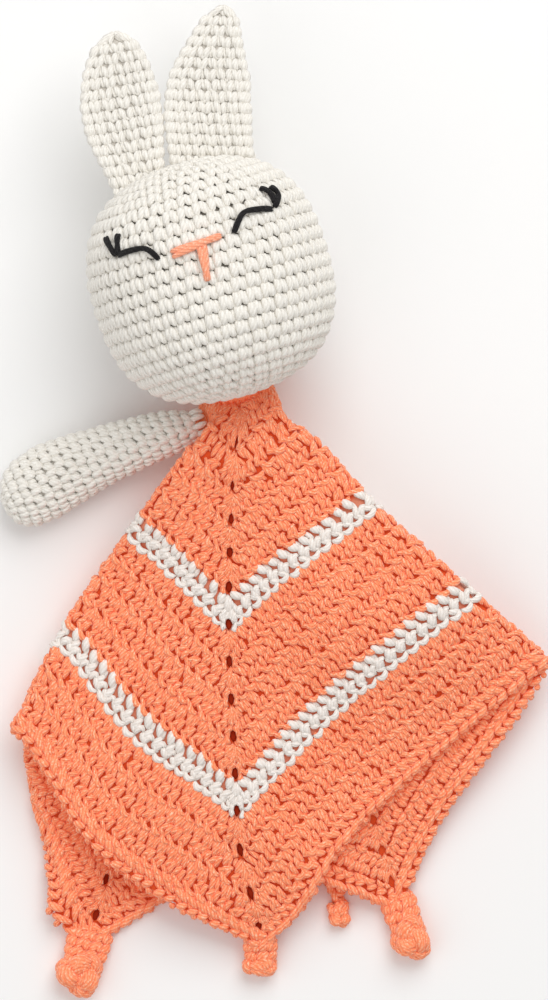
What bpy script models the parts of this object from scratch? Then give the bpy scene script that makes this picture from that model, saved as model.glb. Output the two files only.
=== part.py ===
"""A crocheted rabbit comfort blanket, lying on its back.

The toy is a stuffed head with two flat ears, two stuffed arms, and a square
blanket whose middle is sewn under the head. Two of its corners are folded in
at each side, as in a paper bag, so the cloth lies in four layers. The file
models each piece as its own closed solid, in metres, with +Z up from the
floor, +Y from the blanket towards the ears and +X to the viewer's right.
"""
import bpy
import numpy as np
from mathutils import Matrix, Vector

MM = 0.001
DEG = np.pi / 180

# Clearances that every piece shares
GAP = 0.3 * MM
CUT_OVERRUN = 20.0 * MM

# Head: a ball with slightly straight sides, 90 mm across
HEAD_RADIUS = 45.0 * MM
HEAD_BARREL_SHARE = 0.07
HEAD_WALL = 4.0 * MM
HEAD_ROLL = 17.0 * DEG
HEAD_REST_FLAT = 0.5 * MM
HEAD_X = -24.9 * MM
HEAD_Y = 83.6 * MM
NECK_HOLE_RADIUS = 6.0 * MM
NECK_HOLE_DEPTH_SHARE = 1.0

# Neck: the point of the blanket that is sewn to the head, seen from the head's middle
NECK_ASIDE_SHARE = 0.2156
NECK_AWAY_SHARE = 0.8911
NECK_THREAD_RADIUS = 0.8 * MM
NECK_RING_RADIUS = 10.0 * MM
NECK_NOD_RISE = 10.0 * MM

# Blanket: rounds of double crochet and a narrow edging, 310 mm square when flat
CLOTH = 3.4 * MM
LAYER_ROOM = 1.8 * MM
ROUND = 9.9 * MM
EDGING = 6.5 * MM
CENTRE_ROUND_COUNT = 6
STRIPE_ROUND_COUNT = 1
MIDDLE_ROUND_COUNT = 4
OUTER_ROUND_COUNT = 3
CENTRE_RING = 1.2 * MM
BAND_GAP = 0.6 * MM

# Blanket: the folds' directions, turned from straight down the toy, and their widths
FRONT_TURN = -2.4 * DEG
FRONT_BENDS = (
    (2.4 * DEG, 60.0 * MM, 165.0 * MM),
    (2.4 * DEG, 160.0 * MM, 210.0 * MM),
)
RIGHT_FOLD = 48.4 * DEG
RIGHT_FOLD_SPREAD = 9.0 * DEG
RIGHT_SPREAD_TO = 75.0 * MM
RIGHT_UNDER_FOLD = 43.0 * DEG
LEFT_FOLD = -35.7 * DEG
LEFT_FOLD_CLOSING = 2.7 * DEG
LEFT_CLOSING_FROM = 95.0 * MM
LEFT_CLOSING_TO = 155.0 * MM
LEFT_NECK_SPREAD = 20.0 * DEG
LEFT_NECK_SPREAD_TO = 30.0 * MM
LEFT_UNDER_FOLD = -34.0 * DEG
LEFT_UNDER_CLOSING = 13.7 * DEG
LEFT_UNDER_CLOSING_FROM = 130.0 * MM
LEFT_UNDER_CLOSING_TO = 205.0 * MM
SPREAD_FROM = 5.0 * MM
RIGHT_CORNER = 17.4 * DEG
LEFT_CORNER = -15.0 * DEG
BACK_CORNER = 11.0 * DEG
BOTTOM_RIGHT_RAY = 151.0 * DEG
INNER_RIGHT_RAY = 104.0 * DEG
OUTER_RIGHT_RAY = 50.0 * DEG
INNER_LEFT_RAY = 285.0 * DEG
OUTER_LEFT_RAY = 321.0 * DEG
INNER_RAY_PAST_CORNER = 15.0 * DEG
INNER_FOLD = 5.4 * MM
INNER_FOLD_SPREAD = 6.0 * MM
INNER_SPREAD_FROM = 20.0 * MM
INNER_SPREAD_TO = 80.0 * MM
INNER_RIGHT_LEAN = 2.4 * DEG
LEFT_UNDER_SHARE = 0.745
LEFT_UNDER_FAR_SHARE = 0.985
LEFT_UNDER_FAR_FROM = 130.0 * MM
LEFT_UNDER_FAR_TO = 222.0 * MM
LEFT_TURNED_IN = 26.0 * MM
LEFT_TURNED_IN_FROM = 120.0 * MM
LEFT_TURNED_IN_TO = 160.0 * MM
LEFT_UNDER_FROM = 30.0 * MM
LEFT_UNDER_TO = 80.0 * MM
LEFT_STRETCH_SHARE = 0.09
LEFT_STRETCH_FROM = 60.0 * MM
LEFT_STRETCH_TO = 170.0 * MM
FRONT_TAKE_UP = 6.0 * MM
FRONT_TAKE_UP_FROM = 190.0 * MM
FRONT_TAKE_UP_TO = 219.0 * MM
RIGHT_TAKE_UP = 14.0 * MM
RIGHT_TAKE_UP_FROM = 120.0 * MM
RIGHT_TAKE_UP_TO = 215.0 * MM

# Blanket: its height, from the neck down to the floor
TENT_TOP = 37.0 * MM
TENT_SPAN_SHARE = 1.613
TENT_POWER = 1.35
TENT_MIDDLE = 8.0 * DEG
TENT_SIDE_FROM = 15.0 * DEG
TENT_SIDE_TO = 45.0 * DEG
TENT_SIDE_DROP_SHARE = 0.75
TENT_SIDE_NEAR = 30.0 * MM
TENT_SIDE_FAR = 120.0 * MM
TENT_EASE = 4.0 * MM
TENT_START = 20.0 * MM
OUTER_LIFT_SHARE = 0.15
BACK_LANDING = 42.0 * MM
BACK_TAKE_UP = 20.0 * MM
BACK_TAKE_UP_TO = 50.0 * MM
SAG_FROM = 8.0 * MM
SAG_TO = 36.0 * MM
NECK_DOME = 14.0 * MM
NECK_DOME_WIDE = 16.5 * MM
NECK_DOME_HIGH = 12.0 * MM
NECK_DOME_BACK = 10.0 * MM
NECK_OPEN = 8.0 * MM
NECK_FOLDED = 34.0 * MM
NECK_AXIS_FROM = 4.0 * MM
NECK_AXIS_TO = 30.0 * MM

# Knots in the blanket's corners: length, width and height
KNOT_SIZES = {
    "front": (8.5 * MM, 14.5 * MM, 9.0 * MM),
    "right": (18.5 * MM, 15.5 * MM, 12.0 * MM),
    "back": (7.5 * MM, 9.0 * MM, 6.0 * MM),
    "left": (18.0 * MM, 19.0 * MM, 12.0 * MM),
}
KNOT_STATION_SHARES = (0.0, 0.12, 0.26, 0.42, 0.54, 0.68, 0.83, 0.94, 1.0)
KNOT_GIRTH_SHARES = (0.36, 0.6, 0.93, 1.0, 0.86, 0.94, 0.82, 0.48, 0.0)
KNOT_LOBE_SHARE = 0.08
KNOT_LIFT = 0.2 * MM

# Ears: two flat tubes, softly hollowed, whose middles bow aside towards the left
EAR_HALF_WIDTH = 16.2 * MM
EAR_THICKNESS = 6.4 * MM
EAR_HOLLOW = 3.0 * MM
EAR_LEFT_BASE = (-27.4 * MM, 39.9 * MM)
EAR_LEFT_TIP = (-36.4 * MM, 92.4 * MM)
EAR_RIGHT_BASE = (2.6 * MM, 42.4 * MM)
EAR_RIGHT_TIP = (4.8 * MM, 102.4 * MM)
EAR_LEFT_BOW = 2.0 * MM
EAR_RIGHT_BOW = 4.6 * MM
EAR_HEIGHT = 2.5 * MM
EAR_TIP_DROP = 6.0 * MM
EAR_ROOT = 9.0 * MM
EAR_THREAD_RADIUS = 0.7 * MM
EAR_THREAD_DROP = 0.8 * MM
EAR_LEFT_WIDTH_SHARES = (0.55, 0.72, 0.9, 0.92, 0.77, 0.5, 0.0)
EAR_RIGHT_WIDTH_SHARES = (0.96, 0.98, 1.0, 0.94, 0.66, 0.42, 0.0)
EAR_STATION_SHARES = (0.0, 0.2, 0.4, 0.6, 0.78, 0.93, 1.0)
EAR_TIP_CROWDING = 1.4
EAR_FULL_SHARE = 0.6
EAR_FLAT_POWER = 0.7
EAR_TIP_SHARE = 0.12
EAR_TIP_THICK_SHARE = 0.4
EAR_HOLLOW_FROM_SHARE = 0.4
EAR_THREAD_SHARE = 0.8

# Arms: stuffed tubes with a fuller hand
ARM_LENGTH = 78.5 * MM
ARM_WALL = 2.4 * MM
ARM_LEFT_ROOT_HALF_WIDTH = 8.0 * MM
ARM_RIGHT_ROOT_HALF_WIDTH = 6.5 * MM
ARM_HAND_HALF_WIDTH = 14.0 * MM
ARM_THICK_SHARE = 0.7
ARM_STATION_SHARES = (0.0, 0.05, 0.12, 0.3, 0.46, 0.62, 0.76, 0.88, 0.96, 1.0)
ARM_GIRTH_SHARES = (0.0, 0.02, 0.08, 0.3, 0.5, 0.78, 1.0, 1.0, 1.0, 1.0)
ARM_END_SHARES = (0.62, 0.86, 1.0, 1.0, 1.0, 1.0, 1.0, 0.92, 0.66, 0.0)
ARM_PIVOT_SHARE = 0.12
ARM_HAND_FROM_SHARE = 0.5
ARM_TIP_FROM_SHARE = 0.7
ARM_LEVEL_FROM_SHARE = 0.75
ARM_LEFT_TURN = -67.0 * DEG
ARM_LEFT_ASIDE = -15.5 * MM
ARM_LEFT_DOWN = -14.2 * MM
ARM_LEFT_ROOT_HEIGHT = 19.1 * MM
ARM_RIGHT_TURN = 33.0 * DEG
ARM_RIGHT_ASIDE = 18.9 * MM
ARM_RIGHT_DOWN = -16.0 * MM
ARM_RIGHT_ROOT_HEIGHT = 20.5 * MM
ARM_SIDES = 14
SHOULDER_RINGS = 2
ARM_THREAD_RADIUS = 0.7 * MM
ARM_THREAD_GAP = 0.6 * MM
HAND_REST_FLAT = 0.5 * MM

# Room that the blanket leaves round the arm that lies under its front
POCKET_THICKNESS = 20.0 * MM
POCKET_HALF_WIDTH = 12.0 * MM
POCKET_FALL = 64.0 * MM
POCKET_FROM = 12.0 * MM
POCKET_TO = 74.0 * MM
POCKET_ASIDE = 12.0 * MM
POCKET_DOWN = -9.0 * MM

# Face, embroidered on the head: routes from the head's middle, towards +X and +Y, in head radii
YARN_RADIUS = 0.75 * MM
NOSE_RADIUS = 1.15 * MM
EYE_LEFT_LID_SHARES = (
    (-0.767, 0.191), (-0.658, 0.229), (-0.542, 0.249),
    (-0.476, 0.218), (-0.418, 0.158),
)
EYE_LEFT_LASH_OUTER_SHARES = ((-0.858, 0.351), (-0.813, 0.267), (-0.782, 0.209))
EYE_LEFT_LASH_INNER_SHARES = ((-0.751, 0.371), (-0.753, 0.311), (-0.747, 0.249))
EYE_RIGHT_LID_SHARES = (
    (0.191, 0.371), (0.224, 0.467), (0.276, 0.542),
    (0.391, 0.567), (0.520, 0.576),
)
EYE_RIGHT_LASH_OUTER_SHARES = ((0.538, 0.622), (0.538, 0.680), (0.516, 0.742))
EYE_RIGHT_LASH_INNER_SHARES = ((0.476, 0.636), (0.440, 0.698), (0.387, 0.751))
NOSE_BAR_SHARES = ((-0.324, 0.196), (-0.116, 0.273), (0.096, 0.356))
NOSE_STEM_SHARES = ((-0.067, 0.213), (-0.044, 0.107), (-0.022, -0.011))

CORAL = (0.95, 0.36, 0.19, 1.0)
WHITE = (0.86, 0.84, 0.80, 1.0)
BLACK = (0.015, 0.013, 0.014, 1.0)
ROSE = (0.90, 0.32, 0.22, 1.0)
FILLING = (0.93, 0.93, 0.92, 1.0)
YARN_ROUGHNESS = 0.85

CENTRE_EDGE = CENTRE_ROUND_COUNT * ROUND
INNER_STRIPE_EDGE = CENTRE_EDGE + STRIPE_ROUND_COUNT * ROUND
MIDDLE_EDGE = INNER_STRIPE_EDGE + MIDDLE_ROUND_COUNT * ROUND
OUTER_STRIPE_EDGE = MIDDLE_EDGE + STRIPE_ROUND_COUNT * ROUND
OUTER_EDGE = OUTER_STRIPE_EDGE + OUTER_ROUND_COUNT * ROUND
HALF_SIDE = OUTER_EDGE + EDGING
LAYER = CLOTH + LAYER_ROOM


def ease(value, low, high):
    """Rises smoothly from 0 at low to 1 at high."""
    share = np.clip((value - low) / (high - low), 0, 1)
    return share * share * (3 - 2 * share)


def yarn(name, colour):
    """A plain yarn material."""
    material = bpy.data.materials.new(name)
    material.use_nodes = True
    shader = material.node_tree.nodes["Principled BSDF"]
    shader.inputs["Base Color"].default_value = colour
    shader.inputs["Roughness"].default_value = YARN_ROUGHNESS
    material.diffuse_color = colour
    return material


def piece(name, vertices, faces, colour):
    """Makes one closed piece from its points and faces."""
    mesh = bpy.data.meshes.new(name)
    mesh.from_pydata([tuple(point) for point in np.asarray(vertices, float)], [], faces)
    mesh.update()
    mesh.materials.append(yarn(name, colour))
    mesh.shade_smooth()
    made = bpy.data.objects.new(name, mesh)
    bpy.context.collection.objects.link(made)
    return made


def seat(moving, pivot):
    """Puts a piece's origin on the axis that it turns about, leaving the piece where it is."""
    shift = Vector(pivot)
    moving.data.transform(Matrix.Translation(-shift))
    moving.location = shift


def cutter(name, vertices, faces):
    """A hidden solid that only cuts others."""
    made = piece(name, vertices, faces, FILLING)
    made.hide_render = True
    made.display_type = "WIRE"
    return made


def cut(target, tool):
    """Takes the tool's volume away from the target."""
    modifier = target.modifiers.new("cut_" + tool.name, "BOOLEAN")
    modifier.operation = "DIFFERENCE"
    modifier.solver = "EXACT"
    modifier.object = tool


def stacked_faces(rings, sides, first_pole, last_pole):
    """Faces of rings joined in order, with a single point at either end where one is asked for."""
    faces = []
    start = 1 if first_pole else 0
    for ring in range(rings - 1):
        for side in range(sides):
            a = start + ring * sides + side
            b = start + ring * sides + (side + 1) % sides
            faces.append((a, b, b + sides, a + sides))
    end = start + rings * sides
    for side in range(sides):
        other = (side + 1) % sides
        if first_pole:
            faces.append((0, start + other, start + side))
        if last_pole:
            faces.append((end, end - sides + side, end - sides + other))
    return faces


def head_middle():
    """The middle of the head, which rests on the floor with a small flat."""
    return np.array([HEAD_X, HEAD_Y, HEAD_RADIUS - HEAD_REST_FLAT])


def head_frame():
    """The head's own axes: to its right, up to the ears and out of its face."""
    up = np.array([-np.sin(HEAD_ROLL), np.cos(HEAD_ROLL), 0.0])
    right = np.array([np.cos(HEAD_ROLL), np.sin(HEAD_ROLL), 0.0])
    return right, up, np.array([0.0, 0.0, 1.0])


def head_reach(direction):
    """Distance from the head's middle to its surface: a ball, fuller half way to its poles."""
    along = np.clip(direction @ head_frame()[1], -1, 1)
    return HEAD_RADIUS * (1 + HEAD_BARREL_SHARE * (2 * along) ** 2 * (1 - along ** 2))


def neck_from_head():
    """The neck's place from the head's middle: the cloth's middle layer, just clear of the head."""
    below = HEAD_RADIUS / 2
    aside, away = HEAD_RADIUS * NECK_ASIDE_SHARE, HEAD_RADIUS * NECK_AWAY_SHARE
    for _ in range(30):
        ray = np.array([aside, -away, -below])
        reach = head_reach(ray / np.linalg.norm(ray)) + GAP + CLOTH / 2
        below = np.sqrt(reach ** 2 - aside ** 2 - away ** 2)
    return np.array([aside, -away, -below])


HEAD = head_middle()
NECK = HEAD + neck_from_head()
NECK_AXIS = neck_from_head() / np.linalg.norm(neck_from_head())
NECK_SIDE = np.array([-NECK_AXIS[1], NECK_AXIS[0], 0.0]) / np.hypot(NECK_AXIS[0], NECK_AXIS[1])
NECK_UP = np.cross(NECK_AXIS, NECK_SIDE)


def head_ball(inset, rings=15, sides=24):
    """Points of the head's surface, moved inwards by the inset, and their faces."""
    right, up, out = head_frame()
    tilt = np.linspace(0, np.pi, rings + 2)[1:-1]
    turn = np.linspace(0, 2 * np.pi, sides, endpoint=False)
    ring = np.cos(turn)[:, None] * right - np.sin(turn)[:, None] * out
    rays = [up] + [np.cos(t) * up + np.sin(t) * side for t in tilt for side in ring] + [-up]
    rays = np.array(rays)
    points = HEAD + rays * (head_reach(rays) - inset)[:, None]
    faces = stacked_faces(rings, sides, True, True)
    return points, [tuple(reversed(face)) for face in faces]


def on_face(x, y, lift):
    """The point over (x, y) from the head's middle that stands off the head by the lift."""
    z = HEAD_RADIUS
    for _ in range(30):
        ray = np.array([x, y, z])
        ray = ray / np.linalg.norm(ray)
        reach = head_reach(ray) + lift
        z = np.sqrt(max(reach ** 2 - x ** 2 - y ** 2, YARN_RADIUS ** 2))
    return HEAD + np.array([x, y, z])


def strand(name, points, radius, colour, closed=False, sides=8, steps=3):
    """A round yarn along a smooth route, with flat ends unless it is a ring."""
    points = np.array(points)
    count = len(points)
    if closed:
        before, after = np.roll(points, 1, 0), np.roll(points, -1, 0)
        tangents = after - before
        ring_points = points
    else:
        place = np.linspace(0, count - 1, steps * (count - 1) + 1)
        low = np.minimum(place.astype(int), count - 2)
        share = (place - low)[:, None]
        padded = np.vstack([2 * points[0] - points[1], points, 2 * points[-1] - points[-2]])
        p0, p1, p2, p3 = (padded[low + k] for k in range(4))
        ring_points = 0.5 * (2 * p1 + (p2 - p0) * share + (2 * p0 - 5 * p1 + 4 * p2 - p3) * share ** 2
                             + (3 * p1 - p0 - 3 * p2 + p3) * share ** 3)
        tangents = np.gradient(ring_points, axis=0)
    tangents = tangents / np.linalg.norm(tangents, axis=1)[:, None]
    away = ring_points - (HEAD if not closed else ring_points.mean(0))
    first = away - (away * tangents).sum(1)[:, None] * tangents
    first = first / np.linalg.norm(first, axis=1)[:, None]
    second = np.cross(tangents, first)
    turn = np.linspace(0, 2 * np.pi, sides, endpoint=False)
    rings = ring_points[:, None] + radius * (np.cos(turn)[None, :, None] * first[:, None]
                                             + np.sin(turn)[None, :, None] * second[:, None])
    vertices = rings.reshape(-1, 3)
    number = len(ring_points)
    faces = []
    for ring in range(number if closed else number - 1):
        for side in range(sides):
            a = ring * sides + side
            b = ring * sides + (side + 1) % sides
            c = (ring + 1) % number * sides
            faces.append((a, b, c + (side + 1) % sides, c + side))
    if not closed:
        faces.append(tuple(reversed(range(sides))))
        faces.append(tuple(range((number - 1) * sides, number * sides)))
    return piece(name, vertices, faces, colour)


def front_turn(r):
    """Direction of the front corner's diagonal at a distance from the neck."""
    return FRONT_TURN + sum(bend * ease(r, start, stop) for bend, start, stop in FRONT_BENDS)


def right_fold(r):
    """Direction of the fold at the front's right side."""
    return RIGHT_FOLD + RIGHT_FOLD_SPREAD * (1 - ease(r, SPREAD_FROM, RIGHT_SPREAD_TO))


def left_fold(r):
    """Direction of the fold at the front's left side."""
    closing = LEFT_FOLD_CLOSING * ease(r, LEFT_CLOSING_FROM, LEFT_CLOSING_TO)
    near = LEFT_NECK_SPREAD * (1 - ease(r, SPREAD_FROM, LEFT_NECK_SPREAD_TO))
    return LEFT_FOLD + closing - near


def left_under_fold(r):
    """Direction of the lower fold at the left, which closes in on the left corner."""
    closing = ease(r, LEFT_UNDER_CLOSING_FROM, LEFT_UNDER_CLOSING_TO)
    return LEFT_UNDER_FOLD + LEFT_UNDER_CLOSING * closing


def left_under_share(r):
    """How far round the square, from the back to the left corner, the lower left fold lies."""
    far = ease(r, LEFT_UNDER_FAR_FROM, LEFT_UNDER_FAR_TO)
    return LEFT_UNDER_SHARE + (LEFT_UNDER_FAR_SHARE - LEFT_UNDER_SHARE) * far


def rim(theta):
    """Distance from the blanket's middle to its edge, along a ray of the flat square."""
    return HALF_SIDE / np.cos(np.mod(theta, np.pi / 2) - np.pi / 4)


def under(r, turn, low, high, edge):
    """1 where a layer lies below, falling smoothly to 0 past its folds and its edge."""
    aside = r * np.maximum(np.maximum(turn - high, low - turn), 0)
    beyond = np.hypot(np.maximum(r - edge, 0), aside)
    return 1 - ease(beyond, SAG_FROM, SAG_TO)


def pocket(r, turn):
    """Extra room round the arm that lies between the second and third layers."""
    x = r * np.sin(turn) - POCKET_ASIDE
    y = -r * np.cos(turn) - POCKET_DOWN
    along = np.clip(x * np.sin(ARM_RIGHT_TURN) - y * np.cos(ARM_RIGHT_TURN), POCKET_FROM, POCKET_TO)
    off = np.hypot(x - along * np.sin(ARM_RIGHT_TURN), y + along * np.cos(ARM_RIGHT_TURN))
    return POCKET_THICKNESS * (1 - ease(off, POCKET_HALF_WIDTH, POCKET_HALF_WIDTH + POCKET_FALL))


def layer_heights(r, turn):
    """Heights of the four layers' middles, the front first, over a place given from the neck."""
    left, right = left_under_fold(r), RIGHT_UNDER_FOLD
    square = np.pi / 2
    inner = INNER_RIGHT_LEAN + INNER_FOLD / HALF_SIDE
    folded = square * (2 + left_under_share(r))
    to_left = np.clip((BACK_CORNER - turn) / (BACK_CORNER - left), 0, 1)
    to_right = np.clip((turn - BACK_CORNER) / (right - BACK_CORNER), 0, 1)
    bottom_rays = 2 * square + (folded - 2 * square) * to_left + (BOTTOM_RIGHT_RAY - 2 * square) * to_right
    out = np.clip((turn - left) / (LEFT_CORNER - left), 0, 1)
    third_left = folded + (3 * square - folded) * out
    past = np.clip((turn - LEFT_CORNER) / (-inner - LEFT_CORNER), 0, 1)
    third_left = third_left + INNER_RAY_PAST_CORNER * past
    third_right = np.interp(turn, [inner, right], [INNER_RIGHT_RAY, BOTTOM_RIGHT_RAY])
    second_left = np.interp(turn, [LEFT_FOLD, -inner], [OUTER_LEFT_RAY, INNER_LEFT_RAY])
    second_right = np.interp(turn, [inner, RIGHT_CORNER, RIGHT_FOLD],
                             [INNER_RIGHT_RAY, square, OUTER_RIGHT_RAY])
    between = np.pi * np.clip((turn - left) / (right - left), 0, 1)
    bottom = under(r, turn, left, right, rim(bottom_rays) - BACK_TAKE_UP * np.sin(between) ** 2)
    third = np.maximum(under(r, turn, left, 0, rim(third_left)), under(r, turn, 0, right, rim(third_right)))
    second = np.maximum(under(r, turn, left_fold(r), 0, rim(second_left)),
                        under(r, turn, 0, right_fold(r), rim(second_right)))
    floor = CLOTH / 2 + (NECK[2] - CLOTH / 2) * (1 - ease(r, 0, BACK_LANDING))
    piled = floor + LAYER * (bottom + third + second) + pocket(r, turn)
    tent = TENT_TOP * (1 - (r / (HALF_SIDE * TENT_SPAN_SHARE)) ** TENT_POWER)
    aside = ease(np.abs(turn - TENT_MIDDLE), TENT_SIDE_FROM, TENT_SIDE_TO)
    tent = tent * (1 - TENT_SIDE_DROP_SHARE * aside * ease(r, TENT_SIDE_NEAR, TENT_SIDE_FAR))
    spare = tent - piled
    lift = (spare + np.sqrt(spare ** 2 + TENT_EASE ** 2)) / 2 * ease(r, 0, TENT_START)
    first = piled + lift
    return (first, first - LAYER * second - OUTER_LIFT_SHARE * lift,
            floor + LAYER * bottom + OUTER_LIFT_SHARE * lift, floor)


def blanket_route(r, flat_steps=30, turn_steps=14):
    """The closed route of the folded cloth at each distance r from the neck.

    From the front corner the route runs right over the front, round the right
    fold, back under it, round the inner fold, out again, round the lower right
    fold, along the floor and up the same way at the left. Gives x, y and z from
    the neck, the length along the route, and the lengths at the four corners
    and at the folds.
    """
    r = r[:, None]
    wide = INNER_FOLD + INNER_FOLD_SPREAD * (1 - ease(r, INNER_SPREAD_FROM, INNER_SPREAD_TO))
    inner_right, inner_left = np.arctan(wide / r) + INNER_RIGHT_LEAN, -np.arctan(wide / r)
    outer_right, outer_left = right_fold(r), left_fold(r)
    lower_right, lower_left = RIGHT_UNDER_FOLD + 0 * r, left_under_fold(r)
    front, back = front_turn(r), BACK_CORNER + 0 * r

    def bulge(turn, upper, lower):
        heights = layer_heights(r, turn)
        return (heights[upper] - heights[lower]) / 2 / r

    outer_right, outer_left = outer_right - bulge(outer_right, 0, 1), outer_left + bulge(outer_left, 0, 1)
    lower_right, lower_left = lower_right - bulge(lower_right, 2, 3), lower_left + bulge(lower_left, 2, 3)
    centre_right, centre_left = inner_right, inner_left
    for _ in range(4):
        centre_right = inner_right + bulge(centre_right, 1, 2)
        centre_left = inner_left - bulge(centre_left, 1, 2)
    least = GAP / r
    centre_right = np.minimum(centre_right, np.minimum(outer_right, lower_right) - least)
    centre_left = np.maximum(centre_left, np.maximum(outer_left, lower_left) + least)
    turns, heights, levels, ends = [], [], [], []

    def run(start, stop, level):
        share = np.linspace(0, 1, flat_steps)[None, :]
        turn = start + (stop - start) * share
        turns.append(turn)
        heights.append(layer_heights(np.broadcast_to(r, turn.shape), turn)[level])
        levels.append(np.full(turn.shape, float(level)))
        ends.append(sum(part.shape[1] for part in turns) - 1)

    def bend(centre, start, stop, way):
        upper, lower = layer_heights(r, centre)[start], layer_heights(r, centre)[stop]
        share = np.linspace(0, 1, turn_steps + 2)[None, 1:-1]
        turns.append(centre + way * np.abs(upper - lower) / 2 / r * np.sin(np.pi * share))
        heights.append((upper + lower) / 2 + (upper - lower) / 2 * np.cos(np.pi * share))
        levels.append(start + (stop - start) * share + 0 * r)
        ends.append(sum(part.shape[1] for part in turns))

    run(front, outer_right, 0)
    bend(outer_right, 0, 1, 1)
    run(outer_right, centre_right, 1)
    bend(centre_right, 1, 2, -1)
    run(centre_right, lower_right, 2)
    bend(lower_right, 2, 3, 1)
    run(lower_right, back, 3)
    run(back, lower_left, 3)
    bend(lower_left, 3, 2, -1)
    run(lower_left, centre_left, 2)
    bend(centre_left, 2, 1, 1)
    run(centre_left, outer_left, 1)
    bend(outer_left, 1, 0, -1)
    run(outer_left, front, 0)
    turn, height = np.concatenate(turns, 1), np.concatenate(heights, 1)
    level = np.concatenate(levels, 1)
    between = np.pi * np.clip((turn - left_under_fold(r)) / (RIGHT_UNDER_FOLD - left_under_fold(r)), 0, 1)
    taken = BACK_TAKE_UP * ease(r, 0, BACK_TAKE_UP_TO) * np.clip(level - 2, 0, 1) * np.sin(between) ** 2
    across = np.pi * np.clip(turn / RIGHT_FOLD, 0, 1)
    pulled = RIGHT_TAKE_UP * ease(r, RIGHT_TAKE_UP_FROM, RIGHT_TAKE_UP_TO) * np.sin(across) ** 2
    taken = taken + pulled * np.clip(level, 0, 1) * np.clip(2 - level, 0, 1)
    across = np.pi * np.clip((turn - front) / (left_fold(r) - front), 0, 1)
    stretch = LEFT_STRETCH_SHARE * ease(r, LEFT_STRETCH_FROM, LEFT_STRETCH_TO) * np.sin(across) ** 2
    tip = FRONT_TAKE_UP * ease(r, FRONT_TAKE_UP_FROM, FRONT_TAKE_UP_TO)
    taken = taken + (tip - r * stretch) * np.clip(1 - level, 0, 1)
    x, y = (r - taken) * np.sin(turn), -(r - taken) * np.cos(turn)
    steps = np.sqrt(np.diff(x) ** 2 + np.diff(y) ** 2 + np.diff(height) ** 2)
    length = np.concatenate([np.zeros((len(r), 1)), np.cumsum(steps, 1)], 1)
    at = [length[:, end] for end in ends]
    right_mark = at[2] - np.maximum((RIGHT_CORNER - centre_right[:, 0]) * r[:, 0], (at[2] - at[3]) / 2)
    left_mark = at[9] - np.maximum((centre_left[:, 0] - LEFT_CORNER) * r[:, 0], (at[9] - at[10]) / 2)
    return x, y, height, length, right_mark, left_mark, at


def rays_of(length, r, marks):
    """Ray of the flat square at each length along the route."""
    right_mark, back, left_turn, left_mark, whole = marks
    even = (left_turn - back) / (left_mark - back)
    near = ease(r, LEFT_UNDER_FROM, LEFT_UNDER_TO)
    share = near * left_under_share(r) + (1 - near) * min(even, LEFT_UNDER_FAR_SHARE)
    turned_in = LEFT_TURNED_IN * ease(r, LEFT_TURNED_IN_FROM, LEFT_TURNED_IN_TO)
    even_share = share * (left_turn - turned_in - back) / (left_turn - back)
    own_share = share - turned_in / r * 2 / np.pi
    before = even_share + (own_share - even_share) * ease(r, LEFT_TURNED_IN_FROM, LEFT_TURNED_IN_TO)
    rays = np.pi / 2 * np.array([0, 1, 2, 2 + before, 2 + share, 3, 4])
    lengths = [0, right_mark, back, left_turn - turned_in - GAP, left_turn, left_mark, whole]
    return np.interp(length, lengths, rays)


def neck_dome(r, rays):
    """The cloth next to the neck before its folds begin: a dome that turns down the toy."""
    bent = np.minimum(r / NECK_DOME, np.pi / 2)
    back = NECK_DOME_BACK * (1 - np.cos(bent)) + np.maximum(r - NECK_DOME * np.pi / 2, 0)
    turned = ease(r, NECK_AXIS_FROM, NECK_AXIS_TO)
    axis = NECK_AXIS * (1 - turned) + np.array([0.0, -1.0, 0.0]) * turned
    wide, high = NECK_DOME_WIDE * np.sin(rays), NECK_DOME_HIGH * np.cos(rays)
    ring = wide[:, None] * NECK_SIDE + high[:, None] * NECK_UP
    return axis * back + np.sin(bent) * ring


# How many steps the solid takes between the marks of the route, from the front corner round
ROUTE_STEPS = (5, 4, 3, 1, 4, 4, 4, 3, 6, 4, 2, 1, 4, 3, 4, 4)


def blanket_grid(rows=150):
    """Middle surface of the cloth: places, normals and distances from the middle of the square."""
    r = np.linspace(CENTRE_RING / 2, HALF_SIDE * np.sqrt(2), rows)
    x, y, z, length, right_mark, left_mark, at = blanket_route(r)
    places, distances = [], []
    for row in range(rows):
        marks = (right_mark[row], at[6][row], at[8][row], left_mark[row], length[row, -1])
        stops = np.array([
            0, at[0][row], at[1][row], right_mark[row], max(at[2][row], right_mark[row] + GAP),
            at[3][row], at[4][row], at[5][row], at[6][row], at[7][row], at[8][row], left_mark[row],
            max(at[9][row], left_mark[row] + GAP), at[10][row], at[11][row], at[12][row], length[row, -1],
        ])
        stations = np.concatenate([
            stops[k] + (stops[k + 1] - stops[k]) * np.arange(steps) / steps
            for k, steps in enumerate(ROUTE_STEPS)
        ])
        folded = np.stack([np.interp(stations, length[row], part[row]) for part in (x, y, z)], 1)
        folded[:, 2] -= NECK[2]
        rays = rays_of(stations, r[row], marks)
        open_share = 1 - ease(r[row], NECK_OPEN, NECK_FOLDED)
        places.append(NECK + folded * (1 - open_share) + neck_dome(r[row], rays) * open_share)
        distances.append(r[row] * np.cos(np.mod(rays, np.pi / 2) - np.pi / 4))
    places, distances = np.array(places), np.array(distances)
    around = np.roll(places, -1, 1) - np.roll(places, 1, 1)
    outward = np.gradient(places, axis=0)
    normals = np.cross(outward, around)
    normals = normals / np.linalg.norm(normals, axis=2)[:, :, None]
    return places, normals, distances


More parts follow.
